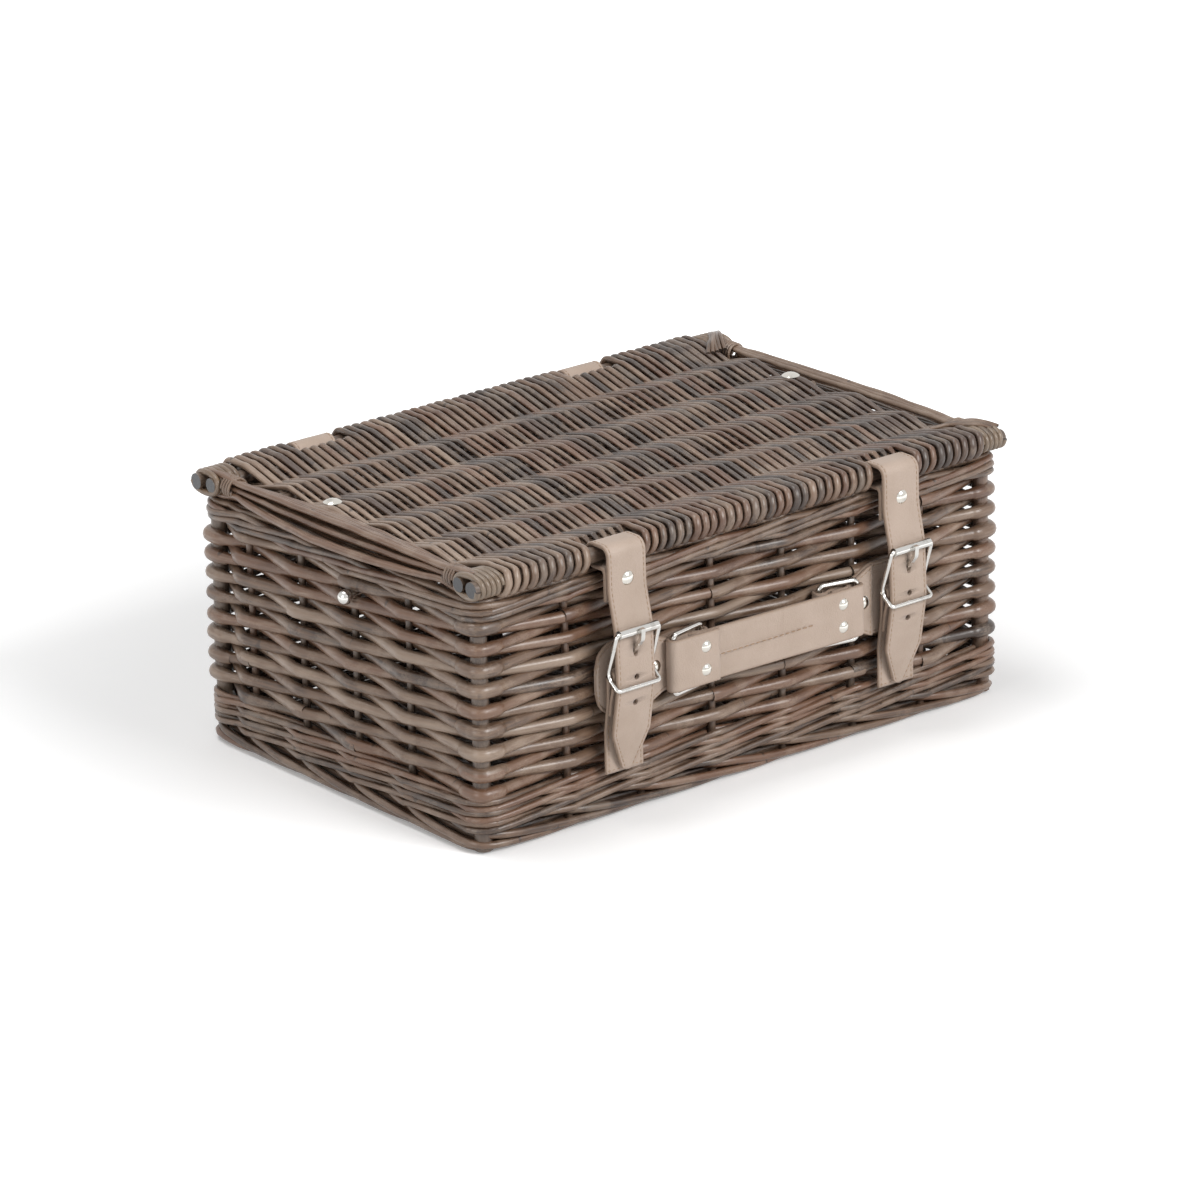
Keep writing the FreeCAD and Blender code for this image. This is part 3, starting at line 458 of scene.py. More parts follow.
@dataclass(frozen=True)
class MetalFinish(Finish):
    """Bright plated metal with fine wear."""

    colour: tuple = tint(206, 204, 200)
    worn: tuple = tint(168, 164, 158)
    polish: float = 0.09

    def build(self) -> Material:
        """Build the material.

        Returns:
            The metal material.
        """
        material, g = self.start()
        wear = g.add("ShaderNodeGroup", {"node_tree": Effects.scratches()}, Polish=self.polish)
        skin = g.blend(wear.outputs["Wear"], self.colour, self.worn)
        self.close(g, skin, wear.outputs["Roughness"], wear.outputs["Height"], 0.00001, Metallic=1.0)
        return material


@dataclass
class Palette:
    """Every material of the basket, built once."""

    weave: Material = field(init=False)
    stick: Material = field(init=False)
    cane: Material = field(init=False)
    leather: Material = field(init=False)
    lining: Material = field(init=False)
    thread: Material = field(init=False)
    chrome: Material = field(init=False)
    nickel: Material = field(init=False)

    def __post_init__(self) -> None:
        """Build the materials."""
        self.weave = WillowFinish("willow weave").build()
        self.stick = WillowFinish("willow stick", middle=tint(92, 76, 64), end=tint(25, 25, 30),
                                  wash=0.35).build()
        self.cane = WillowFinish("split cane", middle=tint(112, 94, 76), red=tint(112, 84, 60)).build()
        self.leather = LeatherFinish("cream leather").build()
        self.lining = LeatherFinish("stay leather", face=tint(178, 157, 139),
                                    shade=tint(160, 137, 118)).build()
        self.thread = ThreadFinish("sewing thread").build()
        self.chrome = MetalFinish("chrome plate").build()
        self.nickel = MetalFinish("nickel plate", colour=tint(212, 208, 200), polish=0.13).build()


# ---------------------------------------------------------------- rods

@dataclass
class Rod:
    """One willow rod or wire as a line of points in millimetres, with its look."""

    points: list[Vector]
    butt: float
    tip: float
    tone: float = 0.45
    hue: float = 0.2
    swell: Optional[list[float]] = None


class RodTree:
    """Geometry nodes that turn lines into round or flattened rods with cut ends."""

    def __init__(self) -> None:
        """Build the tree."""
        real, whole = "NodeSocketFloat", "NodeSocketInt"
        self.tree, g, given = new_group(
            "rods along lines",
            [("Geometry", "NodeSocketGeometry", None), ("Sides", whole, 10), ("Steps", whole, 4),
             ("Flatness", real, 0.0), ("Roughness", real, 0.00012), ("Seed", whole, 1),
             ("Material", "NodeSocketMaterial", None)],
            [("Geometry", "NodeSocketGeometry")], "GeometryNodeTree")
        lines = g.add("GeometryNodeMeshToCurve", Mesh=given.outputs["Geometry"])
        spline = g.add("GeometryNodeCurveSplineType", {"spline_type": "CATMULL_ROM"}, Curve=lines.outputs[0])
        fine = g.add("GeometryNodeSetSplineResolution", Geometry=spline.outputs[0],
                     Resolution=given.outputs["Steps"])
        even = g.add("GeometryNodeResampleCurve", {"mode": "EVALUATED"}, Curve=fine.outputs[0])
        length = g.add("GeometryNodeSplineParameter").outputs["Length"]
        along = self.store(g, even.outputs[0], "rod_along", "FLOAT", "POINT", length)
        ring = g.add("GeometryNodeCurvePrimitiveCircle", Resolution=given.outputs["Sides"], Radius=1.0)
        flat = given.outputs["Flatness"]
        scale = g.add("ShaderNodeCombineXYZ", X=g.math("ADD", 1.0, flat), Y=g.math("SUBTRACT", 1.0, flat),
                      Z=1.0).outputs[0]
        oval = g.add("GeometryNodeTransform", Geometry=ring.outputs[0], Scale=scale)
        profile = self.store(g, oval.outputs[0], "rod_across", "FLOAT_VECTOR", "POINT",
                             g.add("GeometryNodeInputPosition").outputs[0])
        tube = g.add("GeometryNodeCurveToMesh", Curve=along, Profile_Curve=profile, Fill_Caps=True,
                     Scale=self.read(g, "rod_radius"))
        across = g.add("ShaderNodeVectorMath", {"operation": "SCALE"}, Scale=0.002,
                       in_0=self.read(g, "rod_across", "FLOAT_VECTOR")).outputs[0]
        run = g.add("ShaderNodeCombineXYZ", X=0.0, Y=0.0,
                    Z=g.math("ADD", self.read(g, "rod_along"), self.read(g, "rod_start"))).outputs[0]
        shift = g.add("ShaderNodeCombineXYZ", X=self.read(g, "rod_start"), Y=0.0, Z=0.0).outputs[0]
        grain = g.vector("ADD", g.vector("ADD", across, run), shift)
        skin = self.store(g, tube.outputs[0], "rod_grain", "FLOAT_VECTOR", "POINT", grain)
        corners = g.add("GeometryNodeCornersOfFace").outputs["Total"]
        cap = g.add("FunctionNodeCompare", {"data_type": "INT", "operation": "GREATER_THAN"})
        g.wire(cap.inputs[2], corners)
        cap.inputs[3].default_value = 4
        skin = self.store(g, skin, "rod_end", "FLOAT", "FACE", cap.outputs[0])
        lumps = g.add("ShaderNodeTexNoise", {"noise_dimensions": "4D"}, Scale=240.0, Detail=1.0,
                      Vector=self.read(g, "rod_grain", "FLOAT_VECTOR"), W=given.outputs["Seed"])
        push = g.math("MULTIPLY", g.math("SUBTRACT", lumps.outputs[0], 0.5), given.outputs["Roughness"])
        normal = g.add("GeometryNodeInputNormal").outputs[0]
        offset = g.add("ShaderNodeVectorMath", {"operation": "SCALE"}, in_0=normal, Scale=push).outputs[0]
        rough = g.add("GeometryNodeSetPosition", Geometry=skin, Offset=offset)
        side = g.add("FunctionNodeBooleanMath", {"operation": "NOT"}, in_0=cap.outputs[0]).outputs[0]
        smooth = g.add("GeometryNodeSetShadeSmooth", {"domain": "FACE"}, Geometry=rough.outputs[0],
                       Shade_Smooth=side)
        real_mesh = g.add("GeometryNodeRealizeInstances", Geometry=smooth.outputs[0])
        dressed = g.add("GeometryNodeSetMaterial", Geometry=real_mesh.outputs[0],
                        Material=given.outputs["Material"])
        g.add("NodeGroupOutput", Geometry=dressed.outputs[0])

    @staticmethod
    def store(g: Graph, geometry: Socket, name: str, kind: str, domain: str,
              value: Socket) -> Socket:
        """Keep a value on the geometry under a name.

        Args:
            g: The tree's graph.
            geometry: The geometry.
            name: The value's name.
            kind: Its data type.
            domain: What it is kept on.
            value: The value.

        Returns:
            The geometry with the value on it.
        """
        node = g.add("GeometryNodeStoreNamedAttribute", {"data_type": kind, "domain": domain},
                     Geometry=geometry, Name=name, Value=value)
        return node.outputs[0]

    @staticmethod
    def read(g: Graph, name: str, kind: str = "FLOAT") -> Socket:
        """Read a named value from the geometry."""
        return g.add("GeometryNodeInputNamedAttribute", {"data_type": kind}, Name=name).outputs[0]


def bake(blank: Piece, tree: Tree, name: str, values: dict[str, object]) -> Piece:
    """Run a tree on an object and keep the result as a plain mesh.

    Args:
        blank: The object that the tree starts from; it is removed.
        tree: The geometry nodes.
        name: The finished piece's name.
        values: The tree's inputs by name.

    Returns:
        The finished piece.
    """
    modifier = blank.modifiers.new("nodes", "NODES")
    modifier.node_group = tree
    sockets = {item.name: item.identifier for item in tree.interface.items_tree if item.in_out == "INPUT"}
    for label, value in values.items():
        modifier[sockets[label]] = value
    bpy.context.scene.collection.objects.link(blank)
    evaluated = blank.evaluated_get(bpy.context.evaluated_depsgraph_get())
    mesh = bpy.data.meshes.new_from_object(evaluated)
    mesh.name = name
    bpy.data.objects.remove(blank)
    return link(name, mesh)


def link(name: str, data: bpy.types.ID) -> Piece:
    """Put a new object into the scene.

    Args:
        name: Its name.
        data: Its mesh, lamp or camera.

    Returns:
        The object.
    """
    piece = bpy.data.objects.new(name, data)
    bpy.context.scene.collection.objects.link(piece)
    return piece


def lines_mesh(name: str, lines: Sequence[Sequence[Vector]]) -> Mesh:
    """A mesh of open lines.

    Args:
        name: The name of the piece that it is for.
        lines: Each line's points, in millimetres.

    Returns:
        The mesh.
    """
    spots: list[Vector] = []
    edges: list[tuple[int, int]] = []
    for line in lines:
        first = len(spots)
        spots += [point * MM for point in line]
        edges += [(first + i, first + i + 1) for i in range(len(line) - 1)]
    mesh = bpy.data.meshes.new(name + "_lines")
    mesh.from_pydata(spots, edges, [])
    return mesh


def settle(piece: Piece, body: str, *nodes: str) -> Piece:
    """Let a finished piece ride on a body, in place of its plain solids.

    Args:
        piece: The piece.
        body: The body that it moves with.
        nodes: The CAD nodes that it stands for.

    Returns:
        The piece.
    """
    if nodes:
        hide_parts(*nodes)
    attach(piece, body)
    LOG.info("%s: %d faces", piece.name, len(piece.data.polygons))
    return piece


class Workshop:
    """Makes finished pieces out of rods and threads."""

    def __init__(self, palette: Palette) -> None:
        """Set up the shared trees."""
        self.palette = palette
        self.rods = RodTree()
        self.stitch = StitchTree()

    def bundle(self, name: str, rods: Sequence[Rod], material: Material, slot: Slot, seed: int,
               sides: int = 10, steps: int = 4, flatness: float = 0.0, roughness: float = 0.12) -> Piece:
        """One piece made of many rods.

        Args:
            name: The piece's name.
            rods: Its rods.
            material: Its finish.
            slot: The record's slot of that finish; not used.
            seed: Fixes where each rod's grain starts.
            sides: How many sides a rod has.
            steps: How many rings there are between two points.
            flatness: 0 for round, above 0 for wide and thin.
            roughness: The height of the lumps, in millimetres.

        Returns:
            The piece.
        """
        chance = random.Random(seed)
        looks: list[tuple[float, float, float, float]] = []
        for rod in rods:
            start, drift = chance.uniform(0.0, 9.0), 0.0
            for i in range(len(rod.points)):
                drift = max(-DRIFT, min(DRIFT, drift + chance.uniform(-DRIFT, DRIFT) / 3))
                share = i / (len(rod.points) - 1)
                swell = rod.swell[i] if rod.swell else 1.0
                radius = (rod.butt + (rod.tip - rod.butt) * share) * swell * MM
                looks.append((radius, rod.tone + drift, rod.hue, start))
        mesh = lines_mesh(name, [rod.points for rod in rods])
        for label, values in zip(("rod_radius", "rod_tone", "rod_hue", "rod_start"), zip(*looks)):
            mesh.attributes.new(label, "FLOAT", "POINT").data.foreach_set("value", values)
        blank = bpy.data.objects.new(name + "_lines", mesh)
        values = {"Sides": sides, "Steps": steps, "Flatness": flatness, "Roughness": roughness * MM,
                  "Seed": seed, "Material": material}
        piece = bake(blank, self.rods.tree, name, values)
        return piece

    def threads(self, name: str, lines: Sequence[Sequence[Vector]], pitch: float = 2.9,
                length: float = 2.1, thick: float = 0.42) -> Piece:
        """Rows of stitches along lines.

        Args:
            name: The piece's name.
            lines: Where the rows run, in millimetres.
            pitch: From one stitch to the next.
            length: Each stitch's length.
            thick: Each stitch's thickness.

        Returns:
            The piece.
        """
        blank = bpy.data.objects.new(name + "_lines", lines_mesh(name, lines))
        values = {"Pitch": pitch * MM, "Length": length * MM, "Thickness": thick * MM,
                  "Material": self.palette.thread}
        return bake(blank, self.stitch.tree, name, values)


class StitchTree:
    """Geometry nodes that lay rounded stitches along lines."""

    def __init__(self) -> None:
        """Build the tree."""
        real = "NodeSocketFloat"
        self.tree, g, given = new_group(
            "stitches along lines",
            [("Geometry", "NodeSocketGeometry", None), ("Pitch", real, 0.0029), ("Length", real, 0.0021),
             ("Thickness", real, 0.0004), ("Material", "NodeSocketMaterial", None)],
            [("Geometry", "NodeSocketGeometry")], "GeometryNodeTree")
        lines = g.add("GeometryNodeMeshToCurve", Mesh=given.outputs["Geometry"])
        spaced = g.add("GeometryNodeResampleCurve", {"mode": "LENGTH"}, Curve=lines.outputs[0],
                       Length=given.outputs["Pitch"])
        tangent = g.add("GeometryNodeInputTangent").outputs[0]
        turn = g.add("FunctionNodeAlignRotationToVector", {"axis": "Z"}, Vector=tangent).outputs[0]
        grain = g.add("GeometryNodeMeshUVSphere", Segments=6, Rings=5, Radius=0.5)
        scale = g.add("ShaderNodeCombineXYZ", X=given.outputs["Thickness"], Y=given.outputs["Thickness"],
                      Z=given.outputs["Length"]).outputs[0]
        laid = g.add("GeometryNodeInstanceOnPoints", Points=spaced.outputs[0], Instance=grain.outputs[0],
                     Rotation=turn, Scale=scale)
        real_mesh = g.add("GeometryNodeRealizeInstances", Geometry=laid.outputs[0])
        smooth = g.add("GeometryNodeSetShadeSmooth", {"domain": "FACE"}, Geometry=real_mesh.outputs[0])
        dressed = g.add("GeometryNodeSetMaterial", Geometry=smooth.outputs[0],
                        Material=given.outputs["Material"])
        g.add("NodeGroupOutput", Geometry=dressed.outputs[0])


# ---------------------------------------------------------------- willow body

@dataclass(frozen=True)
class Station:
    """One upright of the wall: where it stands, the way round and the way out before and after it."""

    place: Vector
    ahead: tuple[Vector, Vector]
    out: tuple[Vector, Vector]

    @property
    def corner(self) -> bool:
        """Whether the wall turns here."""
        return self.ahead[0] != self.ahead[1]


@dataclass
class Perimeter:
    """The line of uprights round the basket, anticlockwise from above, from the front left corner."""

    WAYS: ClassVar[tuple] = ((1, 0), (0, 1), (-1, 0), (0, -1))
    CORNERS: ClassVar[tuple] = ((-1, -1), (1, -1), (1, 1), (-1, 1))

    line_x: float = 173.1
    line_y: float = 111.6
    post_x: float = 171.0
    post_y: float = 109.5
    bend: float = 8.0
    front: tuple = (-117.2, -68.7, -20.2, 28.3, 76.8, 125.3)
    right: tuple = (-55.5, -10.5, 34.5, 79.5)
    back: tuple = (108.0, 60.0, 12.0, -36.0, -84.0, -132.0)
    left: tuple = (79.5, 34.5, -10.5, -55.5)
    stations: list[Station] = field(init=False)
    places: list[float] = field(init=False)
    length: float = field(init=False)

    def __post_init__(self) -> None:
        """Lay out the stations."""
        ways = [Vector((x, y, 0)) for x, y in self.WAYS]
        outs = [Vector((y, -x, 0)) for x, y in self.WAYS]
        rows = [[Vector((x, -self.line_y, 0)) for x in self.front],
                [Vector((self.line_x, y, 0)) for y in self.right],
                [Vector((x, self.line_y, 0)) for x in self.back],
                [Vector((-self.line_x, y, 0)) for y in self.left]]
        self.stations, self.places = [], []
        start, cut = 0.0, self.bend * (2 - math.pi / 2)
        for turn, (x, y) in enumerate(self.CORNERS):
            post = Vector((x * self.post_x, y * self.post_y, 0))
            before = (turn - 1) % 4
            self.stations.append(Station(post, (ways[before], ways[turn]), (outs[before], outs[turn])))
            self.places.append(start)
            edge = Vector((x * self.line_x, y * self.line_y, 0))
            for spot in rows[turn]:
                self.stations.append(Station(spot, (ways[turn],) * 2, (outs[turn],) * 2))
                self.places.append(start + (spot - edge).dot(ways[turn]) - cut / 2)
            start += 2 * (self.line_x if turn % 2 == 0 else self.line_y) - cut
        self.length = start

    def at(self, run: float, offset: float, height: float) -> Vector:
        """A point beside the wall's middle line.

        Args:
            run: How far round it is, in millimetres from the front left corner.
            offset: How far outside the line it is.
            height: Its Z.

        Returns:
            The point.
        """
        run %= self.length
        quarter = self.bend * math.pi / 2
        start = -quarter / 2
        if run > self.length - quarter / 2:
            run -= self.length
        for turn, ((x, y), (ax, ay)) in enumerate(zip(self.CORNERS, self.WAYS)):
            straight = 2 * (self.line_x if turn % 2 == 0 else self.line_y) - 2 * self.bend
            centre = Vector((x * (self.line_x - self.bend), y * (self.line_y - self.bend), height))
            if run <= start + quarter:
                angle = math.atan2(y, x) + (run - start - quarter / 2) / self.bend
                return centre + Vector((math.cos(angle), math.sin(angle), 0)) * (self.bend + offset)
            if run <= start + quarter + straight:
                out = Vector((ay, -ax, 0))
                return centre + out * (self.bend + offset) + Vector((ax, ay, 0)) * (run - start - quarter)
            start += quarter + straight
        raise ValueError("the run lies off the wall")

    def run_of(self, number: float) -> float:
        """How far round a station is, or a place between two stations.

        Args:
            number: The station, with a share of the way to the next one.

        Returns:
            The millimetres from the front left corner.
        """
        count = len(self.places)
        low = math.floor(number)
        here, share = self.places[low % count], number - low
        after = self.places[(low + 1) % count]
        if after < here:
            after += self.length
        return here + (after - here) * share + self.length * (low // count)


@dataclass
class Wall:
    """The body's walls: uprights, single rods woven between them, the foot and the rim."""

    shop: Workshop
    ring: Perimeter
    rows: int = 17
    stake: float = 2.1
    post: float = 4.8
    press: float = 4.0
    butt: float = 3.15
    tip: float = 2.8
    reach: int = 8
    barrel: float = 1.26
    sink: float = 1.3
    seed: int = 41

    def build(self) -> list[Piece]:
        """Build every willow piece of the body."""
        return [*self.build_uprights(), *self.build_weave(), self.build_wale(), self.build_foot(),
                self.build_rim()]

    def build_uprights(self) -> list[Piece]:
        """The corner posts and the stakes of each side.

        Returns:
            The pieces, the posts first.
        """
        chance = random.Random(self.seed)
        groups: dict[str, list[Rod]] = {"corner_posts": [], "front_stakes": [], "right_stakes": [], "back_stakes": [],
                                        "left_stakes": []}
        names = list(groups)[1:]
        side = -1
        for station in self.ring.stations:
            if station.corner:
                side += 1
            name = "corner_posts" if station.corner else names[side]
            radius = self.post if station.corner else self.stake
            top = RIM_TOP - (0.6 if station.corner else 6.0)
            heights = [1.0 + (top - 1.0) * i / 6 for i in range(7)]
            points = [station.place + Vector((chance.uniform(-0.4, 0.4), chance.uniform(-0.4, 0.4), z))
                      for z in heights]
            groups[name].append(Rod(points, radius, radius * 0.92, chance.uniform(0.3, 0.6),
                                    chance.uniform(0.1, 0.6)))
        pieces = []
        for i, (name, rods) in enumerate(groups.items()):
            piece = self.shop.bundle(name + "_rods", rods, self.shop.palette.stick, Slot.STICK, self.seed + i)
            pieces.append(settle(piece, "basket", name))
        return pieces

    def woven_points(self, number: int, outside: bool, radius: float, height: float) -> Line:
        """The points of a rod where it passes one station, each with the rod's swell there.

        Args:
            number: The station.
            outside: Whether the rod passes outside it.
            radius: The rod's radius there.
            height: The rod's Z.

        Returns:
            The points, in order round the basket.
        """
        station = self.ring.stations[number % len(self.ring.stations)]
        spot = station.place + Vector((0, 0, height))
        (ahead_in, ahead_out), (out_in, out_out) = station.ahead, station.out
        if not station.corner:
            shift = out_in * (self.stake + radius - self.sink) * (1 if outside else -1)
            return [(spot + shift - ahead_in * self.press, 1.1), (spot + shift + ahead_in * self.press, 1.1)]
        if outside:
            clear = self.post - 0.1
            turns = [spot + (out_in * math.cos(a) + out_out * math.sin(a)) * clear
                     for a in (0.0, 0.5, math.pi / 4, 1.07, math.pi / 2)]
            flat = [spot + out_in * clear - ahead_in * 7, *turns, spot + out_out * clear + ahead_out * 7]
            return [(flat[0] - ahead_in * 5 - out_in * 1.2, 1.0), *((point, self.barrel) for point in flat),
                    (flat[-1] + ahead_out * 5 - out_out * 1.2, 1.0)]
        inward = -(out_in + out_out).normalized() * (self.post + radius - 3.0)
        return [(spot + inward - ahead_in * 4, 1.0), (spot + inward + ahead_out * 4, 1.0)]

    def build_weave(self) -> list[Piece]:
        """The rods of the four walls, shared out by the side that each starts on.

        Returns:
            A piece for each wall.
        """
        chance = random.Random(self.seed + 10)
        sides: dict[str, list[Rod]] = {"front": [], "right": [], "back": [], "left": []}
        count = len(self.ring.stations)
        pitch = (RIM_FLOOR - WEAVE_FLOOR) / self.rows
        for row in range(self.rows):
            height = WEAVE_FLOOR + pitch * (row + 0.5)
            start = 2 * chance.randrange(count // 2) + row % 2
            for part in range(count // self.reach):
                sides[self.side_of(start)].append(self.rod(chance, row, start, height))
                start += self.reach
        pieces = []
        for i, (side, rods) in enumerate(sides.items()):
            piece = self.shop.bundle(side + "_weave_rods", rods, self.shop.palette.weave, Slot.WEAVE, self.seed + 20 + i,
                                     sides=12, steps=5)
            pieces.append(settle(piece, "basket", side + "_weave"))
        return pieces

    def side_of(self, number: int) -> str:
        """The side that a station is on."""
        number %= len(self.ring.stations)
        return "front" if number < 7 else "right" if number < 12 else "back" if number < 19 else "left"

    def rod(self, chance: random.Random, row: int, start: int, height: float) -> Rod:
        """One rod woven past several stations, from its thick end to its thin end.

        Args:
            chance: Where the small differences come from.
            row: The course that it lies in.
            start: The station that it starts behind.
            height: The course's Z.

        Returns:
            The rod.
        """
        butt = self.butt * chance.uniform(0.92, 1.1)
        tip = self.tip * chance.uniform(0.9, 1.12)
        line: Line = []
        for number in range(start, start + self.reach + 1):
            radius = butt + (tip - butt) * (number - start) / self.reach
            outside = (number + row) % 2 == 0
            level = height + chance.uniform(-0.65, 0.65)
            here = self.woven_points(number, outside, radius, level)
            if line:
                middle = (line[-1][0] + here[0][0]) / 2
                wander = Vector((chance.uniform(-0.35, 0.35), chance.uniform(-0.35, 0.35), chance.uniform(-0.3, 0.3)))
                line.append((middle + wander, 1.0))
            line += here
        return Rod([point for point, _ in line], butt, tip, min(0.95, max(0.05, chance.gauss(0.44, 0.2))),
                   chance.choice((0.1, 0.2, 0.3, 0.65)), [swell for _, swell in line])

    def strand(self, chance: random.Random, levels: Callable[[int], Point2], radius: float, stride: float = 1.0,
               first: float = 0.0) -> Rod:
        """One strand that runs right round the basket.

        Args:
            chance: Where the small differences come from.
            levels: Gives the offset and the height at each step.
            radius: The strand's radius.
            stride: How many stations there are to a step.
            first: Where it starts, in stations.

        Returns:
            The strand.
        """
        steps = round(len(self.ring.stations) / stride)
        points = []
        for step in range(steps + 1):
            offset, height = levels(step)
            for push in (-5.0, 5.0):
                run = self.ring.run_of(first + step * stride) + push
                points.append(self.ring.at(run, offset + chance.uniform(-0.2, 0.2),
                                           height + chance.uniform(-0.2, 0.2) + push * 0.05))
        return Rod(points, radius, radius * 0.96, chance.uniform(0.15, 0.5), chance.choice((0.1, 0.3, 0.7)))

    def build_wale(self) -> Piece:
        """Three courses of three strands that twist round the stakes, bulging below the wall.

        Returns:
            The piece.
        """
        chance = random.Random(self.seed + 31)
        rods = []
        for course in range(3):
            middle = WALE_FLOOR + 3.4 + 5.8 * course
            for turn in range(3):
                def levels(step: int, middle: float = middle, turn: int = turn, course: int = course) -> Point2:
                    """Where the strand is: behind one stake, then low and high in front of two."""
                    phase = (step + turn + course) % 3
                    return [(-2.4, middle), (5.3, middle - 1.7), (5.0, middle + 1.7)][phase]
                rods.append(self.strand(chance, levels, 1.75))
        piece = self.shop.bundle("foot_wale_strands", rods, self.shop.palette.weave, Slot.WEAVE, self.seed + 32)
        return settle(piece, "basket", "foot_wale")

    def build_foot(self) -> Piece:
        """The border that the basket stands on: each stake's end is laid down past the next two.

        Returns:
            The piece.
        """
        chance = random.Random(self.seed + 33)
        lay = [(-0.12, -1.0, 10.0), (0.0, 2.2, 9.6), (0.22, 4.4, 8.6), (0.6, 5.0, 6.4), (1.0, 4.8, 4.6),
               (1.5, 4.0, 3.2), (1.95, 2.4, 2.8), (2.25, 0.4, 2.8)]
        rods = []
        for number in range(len(self.ring.stations)):
            points = [self.ring.at(self.ring.run_of(number + share), offset,
                                   height + chance.uniform(-0.25, 0.25)) for share, offset, height in lay]
            rods.append(Rod(points, 2.3, 1.9, chance.uniform(0.1, 0.5), chance.choice((0.2, 0.4, 0.7))))
        for height, offset in ((2.8, -1.4), (6.8, -2.6)):
            rods.append(self.strand(chance, lambda step, o=offset, h=height: (o, h), 2.4))
        piece = self.shop.bundle("foot_border_rods", rods, self.shop.palette.weave, Slot.WEAVE, self.seed + 34)
        return settle(piece, "basket", "foot_border")

    def build_rim(self) -> Piece:
        """The plaited border along the top of the walls, with its inside and its top.

        Returns:
            The piece.
        """
        chance = random.Random(self.seed + 35)
        rods = []
        for turn in range(4):
            def levels(step: int, turn: int = turn) -> Point2:
                """Where an outer strand is: it rises past three stakes and drops behind the fourth."""
                phase = (step + turn) % 4
                return [(2.2, 129.6), (4.6, 126.3), (5.0, 129.7), (4.4, 133.0)][phase]
            rods.append(self.strand(chance, levels, 1.85))
        for height, offset in ((126.4, -3.9), (129.8, -4.1), (133.0, -3.6)):
            rods.append(self.strand(chance, lambda step, o=offset, h=height: (o, h), 1.8))
        for turn in range(2):
            def top(step: int, turn: int = turn) -> Point2:
                """Where a top strand is: the two change sides at each stake."""
                return (2.0, 134.6) if (step + turn) % 2 else (-2.0, 134.8)
            rods.append(self.strand(chance, top, 1.8))
        piece = self.shop.bundle("rim_border_strands", rods, self.shop.palette.weave, Slot.WEAVE, self.seed + 36)
        return settle(piece, "basket", "rim_border")


# ---------------------------------------------------------------- woven panels

@dataclass
class Panel:
    """A flat field of rods woven to and fro over lengthwise sticks."""

    middle: float
    rows: tuple
    stick: float
    start: float
    pitch: float
    passes: int
    wide: float
    seed: int

    def over(self, number: int, row: int) -> int:
        """1 where a pass goes over a row of sticks and -1 where it goes under."""
        return 1 if (number + row) % 2 == 0 else -1

    def crossings(self, number: int, x: float, chance: random.Random) -> Line:
        """A pass's points and swells over the sticks, from the front to the back.

        Args:
            number: The pass.
            x: Its place along the panel.
            chance: Where the small differences come from.

        Returns:
            Each point with the rod's swell there.
        """
        found = []
        lift = self.stick + self.wide * 0.62
        for row, y in enumerate(self.rows):
            sign = self.over(number, row)
            jitter = chance.uniform(-0.25, 0.25)
            height = self.middle + sign * lift
            found.append((Vector((x + jitter, y - 4.0, height - sign * 0.25)), 1.05))
            found.append((Vector((x + jitter, y + 4.0, height - sign * 0.25)), 1.05))
            if row < len(self.rows) - 1:
                half = (y + self.rows[row + 1]) / 2
                found.append((Vector((x + jitter, half, self.middle)), 0.86))
        return found


@dataclass
class Base:
    """The woven floor inside the foot."""

    shop: Workshop
    seed: int = 61

    def build(self) -> list[Piece]:
        """Build the sticks and the field."""
        chance = random.Random(self.seed)
        rows = (-84.0, -42.0, 0.0, 42.0, 84.0)
        panel = Panel(5.1, rows, 2.0, -164.0, 4.15, 80, 2.0, self.seed)
        rods = []
        for number in range(panel.passes):
            x = panel.start + number * panel.pitch
            inner = panel.crossings(number, x, chance)
            ends = [Vector((x, sign * 107.0, 5.1)) for sign in (-1, 1)]
            points = [ends[0]] + [point for point, _ in inner] + [ends[1]]
            swell = [0.8] + [s for _, s in inner] + [0.8]
            rods.append(Rod(points, panel.wide, panel.wide, chance.gauss(0.42, 0.15), chance.choice((0.1, 0.3, 0.8)), swell))
        field_piece = self.shop.bundle("base_weave_rods", rods, self.shop.palette.weave, Slot.WEAVE, self.seed,
                                       sides=8, steps=3, flatness=0.16)
        sticks = [Rod([Vector((x, y + chance.uniform(-0.4, 0.4), 5.1)) for x in (-167, -80, 0, 80, 167)], 2.2, 2.1,
                      0.4, 0.4) for y in rows]
        stick_piece = self.shop.bundle("base_stick_rods", sticks, self.shop.palette.stick, Slot.STICK, self.seed + 1)
        return [settle(field_piece, "basket", "base_weave"), settle(stick_piece, "basket", "base_sticks")]


